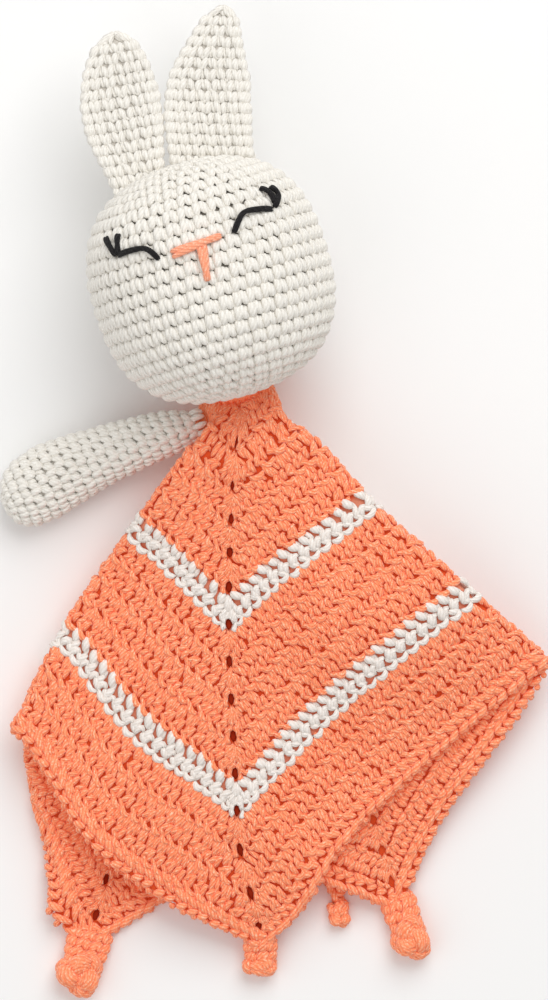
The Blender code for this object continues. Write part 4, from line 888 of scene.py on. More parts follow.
def join_parts(parts):
    """One set of vertices, loops, starts, UVs and tones from several."""
    before = {key: np.cumsum([0] + [len(part[key]) for part in parts]) for key in ("vertices", "loops")}
    return {
        "vertices": np.concatenate([part["vertices"] for part in parts]),
        "loops": np.concatenate([part["loops"] + n for part, n in zip(parts, before["vertices"])]),
        "starts": np.concatenate([part["starts"] + n for part, n in zip(parts, before["loops"])]),
        "uv": np.concatenate([part["uv"] for part in parts]),
        "tone": np.concatenate([part["tone"] for part in parts]),
    }


def make_piece(name, parts, material, body, nodes=()):
    """Puts worked-out arrays into one mesh object that rides on a body, if one is given."""
    made = join_parts(parts)
    made["vertices"][:, 2] = np.maximum(made["vertices"][:, 2], FLOOR_LIFT)
    mesh = bpy.data.meshes.new(name)
    mesh.vertices.add(len(made["vertices"]))
    mesh.vertices.foreach_set("co", made["vertices"].astype(np.float32).ravel())
    mesh.loops.add(len(made["loops"]))
    mesh.loops.foreach_set("vertex_index", made["loops"].astype(np.int32))
    mesh.polygons.add(len(made["starts"]))
    mesh.polygons.foreach_set("loop_start", made["starts"].astype(np.int32))
    layer = mesh.uv_layers.new(name="yarn")
    layer.data.foreach_set("uv", made["uv"].astype(np.float32).ravel())
    tone = mesh.attributes.new("tone", "FLOAT", "POINT")
    tone.data.foreach_set("value", made["tone"].astype(np.float32))
    mesh.update(calc_edges=True)
    mesh.shade_smooth()
    mesh.materials.append(material)
    piece = bpy.data.objects.new(name, mesh)
    bpy.context.scene.collection.objects.link(piece)
    if body:
        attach(piece, body)
    if nodes:
        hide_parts(*nodes)
    return piece


def skin_part(points, closed_ends=True):
    """A plain surface from a table: a face between each four neighbours, and fans at closed ends."""
    rows, columns = points.shape[:2]
    row, column = np.arange(rows - 1)[:, None] * columns, np.arange(columns)[None, :]
    other = (column + 1) % columns
    faces = np.stack([row + column, row + columns + column, row + columns + other, row + other], -1)
    faces = faces.reshape(-1, 4)
    vertices = points.reshape(-1, 3)
    loops = faces.ravel()
    starts = np.arange(len(faces)) * 4
    uv = np.stack([np.tile([0, 0, 1, 1], len(faces)), np.tile([0, 1, 1, 0], len(faces))], -1)
    if closed_ends:
        count = len(vertices)
        vertices = np.vstack([vertices, points[0].mean(0), points[-1].mean(0)])
        end = (rows - 1) * columns
        first = np.stack([np.full(columns, count), column[0], other[0]], -1)
        last = np.stack([np.full(columns, count + 1), end + other[0], end + column[0]], -1)
        caps = np.concatenate([first, last]).ravel()
        starts = np.concatenate([starts, len(loops) + np.arange(2 * columns) * 3])
        loops = np.concatenate([loops, caps])
        uv = np.concatenate([uv, np.zeros((len(caps), 2))])
    tone = np.full(len(vertices), 0.5)
    return {"vertices": vertices, "loops": loops, "starts": starts, "uv": uv, "tone": tone}


def shader_of(name):
    """A new material and its Principled shader."""
    material = bpy.data.materials.new(name)
    material.use_nodes = True
    return material, material.node_tree, material.node_tree.nodes["Principled BSDF"]


def math_node(tree, operation, first, second=None):
    """One Math node whose inputs are sockets or numbers."""
    node = tree.nodes.new("ShaderNodeMath")
    node.operation = operation
    for index, value in enumerate((first, second)):
        if isinstance(value, bpy.types.NodeSocket):
            tree.links.new(value, node.inputs[index])
        elif value is not None:
            node.inputs[index].default_value = value
    return node.outputs[0]


def noise_node(tree, scale, detail):
    """Noise over the piece's own coordinates."""
    place = tree.nodes.new("ShaderNodeTexCoord")
    noise = tree.nodes.new("ShaderNodeTexNoise")
    noise.inputs["Scale"].default_value = scale
    noise.inputs["Detail"].default_value = detail
    tree.links.new(place.outputs["Object"], noise.inputs["Vector"])
    return noise.outputs[0]


def tone_node(tree):
    """The mesh's tone, from 0 to 1."""
    tone = tree.nodes.new("ShaderNodeAttribute")
    tone.attribute_name = "tone"
    return tone.outputs["Fac"]


def mix_node(tree, share, first, second):
    """The first colour where the share is 0 and the second where it is 1."""
    node = tree.nodes.new("ShaderNodeMix")
    node.data_type = "RGBA"
    tree.links.new(share, node.inputs[0])
    for index, value in ((6, first), (7, second)):
        if isinstance(value, bpy.types.NodeSocket):
            tree.links.new(value, node.inputs[index])
        else:
            node.inputs[index].default_value = value
    return node.outputs[2]


def finish_shader(tree, shader, colour, height, relief, strength, values):
    """Gives a shader its colour, its raised surface and its other values."""
    bump = tree.nodes.new("ShaderNodeBump")
    bump.inputs["Distance"].default_value = relief
    bump.inputs["Strength"].default_value = strength
    tree.links.new(height, bump.inputs["Height"])
    tree.links.new(bump.outputs[0], shader.inputs["Normal"])
    tree.links.new(colour, shader.inputs["Base Color"])
    for name, value in values.items():
        shader.inputs[name].default_value = value


def yarn_material(name, colour, deep, light, glow, relief, sheen):
    """Plied cotton: twisted plies and fine fibres raise the surface.

    The plies follow a sine of the length along the yarn plus the turn round it. The groove colour is
    painted shade in their grooves, and the light colour, on specks of fibre over the plies' crests only,
    is partly a painted highlight. The shade is a weighed sum of ply, tone, fibre and patch. A weak
    painted glow in the groove colour stands in for the light that passes through the fibres and lifts
    the shade.
    """
    material, tree, shader = shader_of(name)

    def math(operation, first, second):
        return math_node(tree, operation, first, second)

    uv = tree.nodes.new("ShaderNodeUVMap")
    uv.uv_map = "yarn"
    split = tree.nodes.new("ShaderNodeSeparateXYZ")
    tree.links.new(uv.outputs[0], split.inputs[0])
    phase = math("ADD", split.outputs[0], math("MULTIPLY", split.outputs[1], PLIES))
    wave = math_node(tree, "SINE", math("MULTIPLY", phase, 2 * np.pi))
    ply = math("POWER", math("ADD", math("MULTIPLY", wave, 0.5), 0.5), 0.5)
    fibre = noise_node(tree, FIBRE_SCALE, 3.0)
    patch = noise_node(tree, PATCH_SCALE, 2.0)
    # Painted shade: the groove colour where the ply wave is low, mixed with the random tone, fibre and
    # patch
    shade = math("ADD", math("MULTIPLY", ply, 0.6), math("MULTIPLY", tone_node(tree), 0.15))
    shade = math("ADD", shade, math("MULTIPLY", fibre, 0.35))
    shade = math("ADD", shade, math("MULTIPLY", patch, 0.3))
    # Painted highlight: the light fibre colour shows only where the ply wave is high, on the plies'
    # crests
    highlight_specks = math("MULTIPLY", math("MULTIPLY", math("SUBTRACT", fibre, 0.48), 5.0), ply)
    highlight_specks.node.use_clamp = True
    lit = mix_node(tree, highlight_specks, mix_node(tree, shade, deep, colour), light)
    height = math("ADD", math("MULTIPLY", ply, 0.8), math("MULTIPLY", fibre, 0.35))
    # Painted glow: the groove colour glows weakly, which lifts the yarn's shade
    finish_shader(tree, shader, lit, height, relief, 0.9, {
        "Roughness": 0.85, "Specular IOR Level": 0.25, "Sheen Weight": sheen, "Sheen Roughness": 0.5,
        "Emission Color": deep, "Emission Strength": glow})
    return material


def gap_shade_material(name, colour, glow=0.0, other=None):
    """The felted ground between the stitches and in the eyelets, coloured as painted shade: soft noise
    in colour and height, and a weak painted glow.

    The other colour shows where the tone is 1.
    """
    material, tree, shader = shader_of(name)
    fibre = noise_node(tree, GROUND_SCALE, 3.0)
    dim = tuple(0.7 * part for part in colour[:3]) + (1.0,)
    chosen = mix_node(tree, tone_node(tree), mix_node(tree, fibre, dim, colour), other or colour)
    finish_shader(tree, shader, chosen, fibre, GROUND_RELIEF, 1.0, {
        "Roughness": 0.95, "Specular IOR Level": 0.1,
        "Emission Color": colour, "Emission Strength": glow})
    return material


def colour_prop(name, description, default):
    """A colour property."""
    return bpy.props.FloatVectorProperty(name=name, description=description, default=default, size=4,
                                         min=0.0, max=1.0, subtype="COLOR")


def length_prop(name, description, default):
    """A length property in metres."""
    return bpy.props.FloatProperty(name=name, description=description, default=default, min=0.0,
                                   unit="LENGTH", precision=5)


class LoveyYarnSettings(bpy.types.PropertyGroup):
    """Colours of the yarns."""
    # For each yarn below, the grooves colour is painted shade between the plies, and the fibres colour
    # is partly a painted highlight on the plies' crests
    coral: colour_prop("Coral", "Lit side of the coral yarn", (1.0, 0.345, 0.17, 1.0))
    coral_deep: colour_prop("Coral grooves", "Coral between the plies", (0.90, 0.14, 0.035, 1.0))
    coral_light: colour_prop("Coral fibres", "Lightest fibres of the coral yarn",
                             (1.0, 0.62, 0.42, 1.0))
    # Painted shade: the ground colours below, darker than their yarns, stand for the shade in the gaps
    # between and under the stitches
    ground: colour_prop("Ground", "Cloth between the coral stitches", (0.78, 0.11, 0.03, 1.0))
    stripe_gap_shade: colour_prop("Stripe ground", "Cloth between the white stitches",
                               (0.70, 0.30, 0.20, 1.0))
    # Painted shade: the eyelets' dark patches stand for the shade seen through the holes
    eyelet: colour_prop("Eyelet", "Seen through the eyelets", (0.34, 0.025, 0.006, 1.0))
    white: colour_prop("White", "Stripes' yarn", (0.86, 0.80, 0.75, 1.0))
    white_deep: colour_prop("White grooves", "White between the plies", (0.78, 0.68, 0.60, 1.0))
    white_light: colour_prop("White fibres", "Lightest fibres of the white yarn",
                             (0.95, 0.91, 0.87, 1.0))
    cream: colour_prop("Cream", "Head, ears and arms", (0.85, 0.82, 0.76, 1.0))
    cream_deep: colour_prop("Cream grooves", "Cream between the plies", (0.73, 0.69, 0.62, 1.0))
    cream_light: colour_prop("Cream fibres", "Lightest fibres of the cream yarn",
                             (0.93, 0.91, 0.86, 1.0))
    # Painted shade: the skins' colours, darker than the cream yarn, stand for the shade in the gaps
    # between the cream stitches
    cream_ground: colour_prop("Cream ground", "Seen between the cream stitches",
                              (0.24, 0.22, 0.19, 1.0))
    ear_ground: colour_prop("Ear ground", "Seen between the ears' finer stitches",
                            (0.66, 0.62, 0.56, 1.0))
    black: colour_prop("Black", "Eyes", (0.012, 0.010, 0.011, 1.0))
    black_deep: colour_prop("Black grooves", "Black between the plies", (0.003, 0.003, 0.003, 1.0))
    black_light: colour_prop("Black fibres", "Lightest fibres of the black yarn",
                             (0.03, 0.03, 0.03, 1.0))
    rose: colour_prop("Rose", "Nose", (0.98, 0.40, 0.24, 1.0))
    rose_deep: colour_prop("Rose grooves", "Rose between the plies", (0.90, 0.26, 0.13, 1.0))
    rose_light: colour_prop("Rose fibres", "Lightest fibres of the rose yarn", (1.0, 0.58, 0.42, 1.0))


class LoveyStitchSettings(bpy.types.PropertyGroup):
    """Sizes of the stitches."""
    blanket_stitch: length_prop("Blanket stitch", "Width of a double crochet stitch", 0.0054)
    edging_stitch: length_prop("Edging stitch", "Width of an edging stitch", 0.0052)
    head_stitch: length_prop("Head stitch", "Width of a single crochet stitch on the head", 0.00565)
    ear_stitch: length_prop("Ear stitch", "Width of a single crochet stitch on the ears", 0.0040)
    arm_stitch: length_prop("Arm stitch", "Width of a single crochet stitch on the arms", 0.0050)
    knot_stitch: length_prop("Knot stitch", "Width of a stitch on the knotted corners", 0.0042)
    head_rounds: bpy.props.IntProperty(name="Head rounds", description="Rounds from pole to pole",
                                       default=26, min=12, max=40)


class LoveyStageSettings(bpy.types.PropertyGroup):
    """Camera, floor and light."""
    camera_height: length_prop("Camera height", "Height of the camera over the floor", 6.0)
    camera_x: bpy.props.FloatProperty(name="Camera x", description="Place over the toy", default=-0.0013,
                                      unit="LENGTH")
    camera_y: bpy.props.FloatProperty(name="Camera y", description="Place along the toy", default=0.0011,
                                      unit="LENGTH")
    view_length: length_prop("View length", "Length of floor that the picture shows", 0.375)
    floor_size: length_prop("Floor size", "Side of the floor", 6.0)
    key_power: bpy.props.FloatProperty(name="Key power", description="Main soft light", default=18.5,
                                       min=0.0, unit="POWER")
    fill_power: bpy.props.FloatProperty(name="Fill power", description="Fill light", default=5.0,
                                        min=0.0, unit="POWER")
    world: bpy.props.FloatProperty(name="Room light", description="Strength of the room's light",
                                   default=0.55, min=0.0)


def kept(name, make, *values, **named):
    """The material of a name, made by the function when it isn't there yet."""
    return bpy.data.materials.get(name) or make(name, *values, **named)


def yarns():
    """The yarn materials, made once."""
    settings = bpy.context.scene.lovey_yarn
    made = {}
    for name, (glow, relief, sheen) in YARN_LOOKS.items():
        # Each yarn's own colour, its painted groove shade, and its fibre colour, which is also a painted
        # highlight on the plies' crests
        colours = [getattr(settings, name + kind) for kind in ("", "_deep", "_light")]
        made[name] = kept(name + "_yarn_look", yarn_material, *colours, glow, relief, sheen)
    return made


BLANKET = {}


def blanket():
    """The blanket's table, worked out once."""
    if not BLANKET:
        BLANKET["table"] = blanket_table()
    return BLANKET["table"]


def round_stitches(table, pattern, first_round, last_round, pitch, seed, sides=5, stations=7):
    """The stitches of some of the blanket's rounds along each of the four sides.

    Stitches stand side by side as far as the round inside reaches. Past that, the last ones
    spread like a fan from the corner's eyelet, and keep off the next eyelet.
    """
    parts = []
    for number in range(first_round, last_round + 1):
        inner = (number - 1) * ROUND
        straight = int(round(2 * inner / pitch))
        count = straight + 2 * CORNER_STITCHES
        gap = EYELET_GAP * min(number / EYELET_GAP_ROUNDS, 1)
        fanned = np.abs(np.arange(count) + 0.5 - count / 2) > straight / 2
        shares = np.where(fanned, FAN_SHARE, 1.0)
        for side in range(4):

            def place(u, v, lift, side=side, inner=inner, straight=straight, count=count, gap=gap):
                spot = np.arange(count)[:, None, None] + u - CORNER_STITCHES
                even = np.clip(spot, 0, straight)
                fan = (spot - even) / CORNER_STITCHES * ROUND * np.clip(v, FAN_FROM, FAN_TO)
                out = inner + v * ROUND
                along = inner * (2 * even / max(straight, 1) - 1) + fan
                limit = out - DIAGONAL_GAP - gap * ease(v, EYELET_GAP_FROM, EYELET_GAP_TO)
                limit = np.maximum(limit, 0)
                centre, normal = flat_place(table, side, np.clip(along, -limit, limit), out)
                return centre + normal * lift[..., None], normal

            parts.append(stitched(place, pattern, count, seed + number * 4 + side, sides=sides,
                                  stations=stations, shares=shares))
    return parts


def eyelets(table):
    """Dark lens-shaped patches on the diagonals, one at each round's corner: painted shade where the
    eyelets open.
    """
    number = np.arange(1, ROUNDS + 1)[:, None]
    start, more = EYELET_LENGTH_SHARES
    length = EYELET_LENGTH / 2 * np.minimum(start + more * number, 1)
    out = number * ROUND - EYELET_BACK + length / np.sqrt(2) * np.linspace(-1, 1, 7)
    start, more = EYELET_WIDTH_SHARES
    width = EYELET_WIDTH / 2 * np.minimum(start + more * number[:, 0], 1)
    thick = np.full(ROUNDS, EYELET_LIFT)
    parts = []
    for side in range(4):
        centre, normal = flat_place(table, side, out, out)
        parts.append(tubes(centre + normal * EYELET_LIFT, normal, width, thick, taper=0.7, sides=8))
    return parts


def edging_stitches(table, pitch, seed):
    """The braided edging: lobes along each side's hem on both faces, and over the rim."""
    start = ROUNDS * ROUND
    count = int(round(2 * (start + EDGING / 2) / pitch))
    index = np.arange(count)[:, None, None]

    def place(u, v, lift, side):
        out = start + v * EDGING * EDGING_SHARE
        share = np.clip((index + u) / count, 0.0, 1.0) * 2 - 1
        centre, normal = flat_place(table, side, out * share, out)
        return centre + normal * lift[..., None], normal

    return [stitched(lambda u, v, lift, side=side: place(u, v, lift, side), EDGING_STITCH, count,
                     seed + side) for side in range(4)]


def sheet_part(table, low, high, steps, columns=480):
    """A plain sheet between two squares of the blanket, one point per step and ray.

    Its tone is 1 under the white stripes and 0 elsewhere.
    """
    surface, r = table
    out = np.linspace(low, high, steps)[:, None]
    ray = np.linspace(0, 1, columns, endpoint=False)[None, :]
    turn = ray * 2 * np.pi
    reach = eased(out / np.cos(np.mod(turn, np.pi / 2) - np.pi / 4), turn)
    points, _ = sample(surface, (reach - r[0]) / (r[1] - r[0]), ray + 0 * out)
    part = skin_part(points, closed_ends=False)
    striped = sum((out > (number - STRIPE_GROUND_SHARE) * ROUND) & (out < number * ROUND)
                  for number in STRIPE_ROUNDS)
    part["tone"] = np.repeat(striped.astype(float), columns)
    return part


def tube_stitches(places, normals, starts, counts, heights, pattern, lean, seed, sides=5):
    """Single crochet rounds on a closed surface: each round's stitches side by side round it.

    Each round starts a share of a stitch, the lean, further round than the one before.
    """
    parts = []
    for number, (row, count, height) in enumerate(zip(starts, counts, heights)):

        def place(u, v, lift, row=row, count=count, height=height, number=number):
            turn = (np.arange(count)[:, None, None] + u + lean * number) / count
            centre, normal = sample((places, normals), row + v * height, turn)
            return centre + normal * lift[..., None], normal

        parts.append(stitched(place, pattern, count, seed + number, wobble=TUBE_WOBBLE, stations=7,
                              sides=sides))
    return parts


def rounds_of(places, pitch, height, step):
    """Rows where rounds begin at even distances along a surface, each round's stitch count and height.

    Counts go up and down by a whole step, so rounds of like girth keep their stitches in line.
    """
    profile = places[:, places.shape[1] // 4]
    along = np.concatenate([[0], np.cumsum(np.linalg.norm(np.diff(profile, axis=0), axis=1))])
    number = int(round(along[-1] / height))
    starts = np.interp(np.linspace(0, along[-1], number + 1), along, np.arange(len(along)))
    girth = np.linalg.norm(np.roll(places, -1, 1) - places, axis=2).sum(1)
    middle = np.interp((starts[:-1] + starts[1:]) / 2, np.arange(len(girth)), girth)
    counts = np.maximum(np.round(middle / pitch / step), 1) * step
    return starts[:-1], counts.astype(int), np.diff(starts)


def scaled(pattern, share):
    """A stitch pattern with its lift and half sizes at a share of their own."""
    return tuple((tuple((u, v, lift * share) for u, v, lift in control), wide * share, thick * share)
                 for control, wide, thick in pattern)


def crocheted(surface, depth, pattern, pitch, height, step, lean, seed):
    """A closed surface's rounds of single crochet, and the plain skin at a depth under them."""
    places, normals = surface
    starts, counts, heights = rounds_of(places, pitch, height, step)
    stitches = tube_stitches(places, normals, starts, counts, heights, pattern, lean, seed)
    return stitches, places - normals * depth


def make_limb(name, surface, depth, pattern, pitch, height, lean, seed, nodes):
    """An ear or an arm on its own body: a plain skin, which is returned, and the stitches over it."""
    # The skin is coloured as painted shade for the gaps between the stitches
    ground = kept("ear_ground_look", gap_shade_material, bpy.context.scene.lovey_yarn.ear_ground)
    stitches, under_them = crocheted(tabulate_outwards(surface), depth, pattern, pitch, height,
                                     LIMB_STITCH_STEP, lean, seed)
    skin = make_piece(name + "_skin", [skin_part(under_them[::3, ::5])], ground, name,
                      nodes)
    make_piece(name + "_stitches", stitches, yarns()["cream"], name)
    return skin


class LOVEY_OT_blanket(bpy.types.Operator):
    """Lays the blanket's cloth and its stitches over the folded table"""
    bl_idname = "lovey.blanket"
    bl_label = "Blanket"

    def execute(self, context):
        table = blanket()
        look = yarns()
        settings, sizes = context.scene.lovey_yarn, context.scene.lovey_stitch
        # The cloth under the stitches is coloured as painted shade for their gaps, with a weak painted
        # glow, and another painted shade under the white stripes
        ground = gap_shade_material("blanket_ground_look", settings.ground, GROUND_GLOW,
                                settings.stripe_gap_shade)
        cloth = make_piece("blanket_cloth",
                           [sheet_part(table, CENTRE_RING, HALF_SIDE - CLOTH_MARGIN, CLOTH_STEPS)],
                           ground, "blanket",
                           ["blanket_centre", "blanket_inner_stripe", "blanket_middle_band",
                            "blanket_outer_stripe", "blanket_outer_band", "blanket_edging"])
        pitch = sizes.blanket_stitch
        for name, first, last, colour in FRONT_BANDS:
            pattern = STRIPE_STITCH if colour == "white" else DOUBLE_CROCHET
            parts = round_stitches(table, pattern, first, last, pitch, SEEDS["front"] + first)
            make_piece(name, parts, look[colour], "blanket")
        for name, first, last, colour in BACK_BANDS:
            parts = round_stitches(table, DOUBLE_CROCHET_BACK, first, last, pitch, SEEDS["back"] + first,
                                   stations=6)
            make_piece(name, parts, look[colour], "blanket")
        # Dark patches of painted shade in the eyelets
        dark = gap_shade_material("eyelet_look", settings.eyelet)
        make_piece("blanket_eyelets", eyelets(table), dark, "blanket")
        parts = edging_stitches(table, sizes.edging_stitch, SEEDS["edging"])
        make_piece("blanket_edging_stitches", parts, look["coral"], "blanket")
        return {"FINISHED"}


class LOVEY_OT_head(bpy.types.Operator):
    """Makes the crocheted ball"""
    bl_idname = "lovey.head"
    bl_label = "Head"

    def execute(self, context):
        settings, sizes = context.scene.lovey_yarn, context.scene.lovey_stitch
        look = yarns()
        # The head's skin is coloured as painted shade for the gaps between its stitches
        ground = kept("cream_ground_look", gap_shade_material, settings.cream_ground)
        height = HEAD_RADIUS * np.pi / sizes.head_rounds
        stitches, under_them = crocheted(
            head_table(), HEAD_SKIN, SINGLE_CROCHET, sizes.head_stitch, height,
            HEAD_STITCH_STEP, HEAD_LEAN, SEEDS["head"])
        skin = make_piece("head_skin", [skin_part(under_them[::4, ::6])], ground, "head",
                          ["head_shell", "head_stuffing"])
        make_piece("head_stitches", stitches, look["cream"], "head")
        return {"FINISHED"}


class LOVEY_OT_ears(bpy.types.Operator):
    """Makes the two flat ears"""
    bl_idname = "lovey.ears"
    bl_label = "Ears"

    def execute(self, context):
        pitch = context.scene.lovey_stitch.ear_stitch
        pattern = scaled(SINGLE_CROCHET, EAR_STITCH_SHARE)
        for number, side in enumerate(("left", "right")):
            skin = make_limb("ear_" + side, ear_table(side), EAR_SKIN, pattern, pitch,
                             pitch * EAR_ROUND_SHARE, EAR_LEAN,
                             SEEDS["ear"] + SEED_STEPS["ear"] * number, ["ear_" + side])
        return {"FINISHED"}


class LOVEY_OT_arms(bpy.types.Operator):
    """Makes the two stuffed arms"""
    bl_idname = "lovey.arms"
    bl_label = "Arms"

    def execute(self, context):
        pitch = context.scene.lovey_stitch.arm_stitch
        pattern = scaled(SINGLE_CROCHET, ARM_STITCH_SHARE)
        for number, side in enumerate(("left", "right")):
            name = "arm_" + side
            skin = make_limb(name, arm_table(side), ARM_SKIN, pattern, pitch,
                             pitch * ARM_ROUND_SHARE, ARM_LEAN,
                             SEEDS["arm"] + SEED_STEPS["arm"] * number,
                             [name + "_shell", name + "_stuffing"])
        return {"FINISHED"}


def on_face(x, y):
    """The head's surface over (x, y) from its middle, and the rays to it."""
    z = np.full(len(x), HEAD_RADIUS)
    for _ in range(SOLVE_STEPS):
        ray = unit(np.stack([x, y, z], -1))
        z = np.sqrt(np.maximum(head_reach(ray) ** 2 - x ** 2 - y ** 2, MM ** 2))
    return HEAD + np.stack([x, y, z], -1), ray


def smooth_route(points, count):
    """A Catmull-Rom route through the points, with the same number of steps between each two."""
    place = np.linspace(0, len(points) - 1, count)
    low = np.minimum(place.astype(int), len(points) - 2)
    share = (place - low)[:, None]
    padded = np.vstack([2 * points[0] - points[1], points, 2 * points[-1] - points[-2]])
    p0, p1, p2, p3 = (padded[low + k] for k in range(4))
    return 0.5 * (2 * p1 + (p2 - p0) * share + (2 * p0 - 5 * p1 + 4 * p2 - p3) * share ** 2
                  + (3 * p1 - p0 - 3 * p2 + p3) * share ** 3)


class LOVEY_OT_face(bpy.types.Operator):
    """Embroiders the eyes and the nose"""
    bl_idname = "lovey.face"
    bl_label = "Face"

    def execute(self, context):
        look = yarns()
        ends = np.abs(np.linspace(-1, 1, FACE_STATIONS)) ** FACE_END_POWER
        for name, route in FACE_ROUTES.items():
            colour = "rose" if name.startswith("nose") else "black"
            strands, radius = FACE_STRANDS[colour]
            flat = smooth_route(np.array(route) * MM, FACE_STATIONS)
            across = unit(np.stack([-np.gradient(flat[:, 1]), np.gradient(flat[:, 0])], -1))
            centres, normals = [], []
            for start, stop, rise in strands:
                line = flat + across * np.linspace(start, stop, FACE_STATIONS)[:, None] * MM
                points, rays = on_face(line[:, 0], line[:, 1] - FACE_DROP)
                lift = FACE_LIFT + rise * MM - FACE_END_DROP * ends
                centres.append(points + rays * lift[:, None])
                normals.append(rays)
            half = np.full(len(strands), radius)
            part = tubes(np.array(centres), np.array(normals), half, half, taper=0.25, sides=10)
            make_piece(name + "_yarn", [part], look[colour], "head", [name])
        return {"FINISHED"}


def knot_place(table, corner):
    """The tip of one of the blanket's corners and the level way that it points."""
    surface, r = table
    reach = np.array([HALF_SIDE, HALF_SIDE - EDGING]) * np.sqrt(2)
    points, _ = sample(surface, (reach - r[0]) / (r[1] - r[0]), np.full(2, KNOT_RAYS[corner]))
    way = points[0] - points[1]
    way[2] = 0
    return points[0], unit(way)


def trefoil():
    """A trefoil knot's closed route, no further than 1 from its middle each way.

    At turn t it lies at (sin t + 2 sin 2t) / 3, (cos t - 2 cos 2t) / 3 and -sin 3t.
    """
    turn = np.linspace(0, 2 * np.pi, KNOT_STATIONS, endpoint=False)[:, None]
    x = (np.sin(turn) + 2 * np.sin(2 * turn)) / 3
    y = (np.cos(turn) - 2 * np.cos(2 * turn)) / 3
    return x, y, -np.sin(3 * turn)


def roll_table(path, radius, columns=24):
    """A thick roll's surface round a closed route: circles across it."""
    tangent = unit(np.roll(path, -1, 0) - np.roll(path, 1, 0))
    first = unit(np.cross(tangent, ROLL_UP))
    second = np.cross(tangent, first)
    angle = np.linspace(0, 2 * np.pi, columns, endpoint=False)[None, :, None]
    normals = np.cos(angle) * first[:, None] + np.sin(angle) * second[:, None]
    return path[:, None] + radius * normals, normals


def neck_table(start, centre, aside, wide, rows=41, columns=72):
    """The gathered corner from the cloth to its knot: flat ovals, closed roundly at both ends."""
    share = np.linspace(0, 1, rows)
    ends = np.sqrt(np.clip(1 - (2 * share - 1) ** NECK_END_POWER, NECK_LEAST_END, 1))
    half = wide / 2 * np.interp(share, NECK_WIDTH_STATIONS, NECK_WIDTH_SHARES) * ends
    high = NECK_HALF_HEIGHT * ends
    angle = np.linspace(0, 2 * np.pi, columns, endpoint=False)[None, :, None]
    middle = start + (centre - start) * share[:, None]
    ring = (np.cos(angle) * aside * half[:, None, None] + np.sin(angle) * UP * high[:, None, None])
    return tabulate_outwards(middle[:, None] + ring)


class LOVEY_OT_knots(bpy.types.Operator):
    """Ties the blanket's corners"""
    bl_idname = "lovey.knots"
    bl_label = "Knots"

    def execute(self, context):
        table = blanket()
        look = yarns()
        pitch = context.scene.lovey_stitch.knot_stitch
        pattern = scaled(SINGLE_CROCHET, KNOT_STITCH_SHARE)
        x, y, z = trefoil()
        for number, (corner, (long, wide, high)) in enumerate(KNOT_SIZES.items()):
            tip, way = knot_place(table, corner)
            aside = np.array([-way[1], way[0], 0.0])
            roll = KNOT_ROLL_SHARE * high
            centre = tip + way * (GAP + long / 2) + UP * (high / 2 + KNOT_LIFT - tip[2])
            path = (centre + way * x * (long / 2 - roll) + aside * y * (wide / 2 - roll)
                    + UP * z * (high / 2 - roll))
            knot = roll_table(np.vstack([path, path[:KNOT_OVERLAP]]), roll)
            neck = neck_table(tip - way * NECK_REACHES[corner], centre, aside, wide)
            parts = []
            for surface, seed in ((knot, SEEDS["knot"]), (neck, SEEDS["knot_neck"])):
                stitches, under_them = crocheted(
                    surface, KNOT_SKIN, pattern, pitch, pitch * KNOT_ROUND_SHARE,
                    1, KNOT_LEAN, seed + SEED_STEPS["knot"] * number)
                parts += stitches + [skin_part(under_them[::2, ::2])]
            make_piece("knot_" + corner + "_yarn", parts, look["coral"], "blanket",
                       ["knot_" + corner])
        return {"FINISHED"}


def neck_gathers():
    """The gathered cloth between the blanket and the head, hidden while the head lies back.

    Yarn strands and a skin under them run along the neck's axis, on circles round it.
    """
    place = np.linspace(GATHER_PLACES[0], GATHER_PLACES[-1], GATHER_STATIONS)
    radius = np.interp(place, GATHER_PLACES, GATHER_RADII)

    def rings(count, inset):
        angle = np.linspace(0, 2 * np.pi, count, endpoint=False)[:, None, None]
        outward = np.cos(angle) * NECK_SIDE + np.sin(angle) * NECK_UP
        return NECK - NECK_AXIS * place[:, None] + outward * (radius - inset)[:, None], outward

    routes, outward = rings(GATHERS, 0.0)
    size = np.full(GATHERS, GATHER_YARN)
    strands = tubes(routes, np.broadcast_to(outward, routes.shape), size, size, taper=0.2, sides=8)
    skin, _ = rings(3 * GATHERS, GATHER_SKIN)
    return [strands, skin_part(np.swapaxes(skin, 0, 1))]


class LOVEY_OT_seams(bpy.types.Operator):
    """Makes the neck's gathers and the left arm's seam, and gives the other threads their yarns"""
    bl_idname = "lovey.seams"
    bl_label = "Seams"

    def execute(self, context):
        look = yarns()
        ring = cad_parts["arm_left_thread"]
        corners = np.array([ring.matrix_world @ Vector(corner) for corner in ring.bound_box])
        middle = corners.mean(0)
        way, aside = arm_ways("left")
        angle = np.linspace(0, 2 * np.pi, SEAM_STITCHES, endpoint=False)[:, None]
        outward = np.cos(angle) * aside + np.sin(angle) * SEAM_HEIGHT_SHARE * UP
        share = np.linspace(-1, 1, SEAM_STATIONS)[None, :, None]
        reach = SEAM_RADIUS - SEAM_DIP * share ** 2
        routes = middle + way * SEAM_REACH * share + outward[:, None] * reach
        size = np.full(SEAM_STITCHES, SEAM_YARN)
        lobes = tubes(routes, np.broadcast_to(unit(outward)[:, None], routes.shape), size, size, sides=8)
        make_piece("arm_left_seam", [lobes], look["cream"], "shoulder_left",
                   ["arm_left_thread"])
        gathers = make_piece("neck_gathers", neck_gathers(), look["coral"], None)
        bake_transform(gathers)
        for name, colour in (("neck_thread", "coral"), ("arm_right_thread", "cream"),
                             ("ear_left_thread", "cream"), ("ear_right_thread", "cream")):
            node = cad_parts[name]
            node.data.materials.clear()
            node.data.materials.append(look[colour])
        return {"FINISHED"}


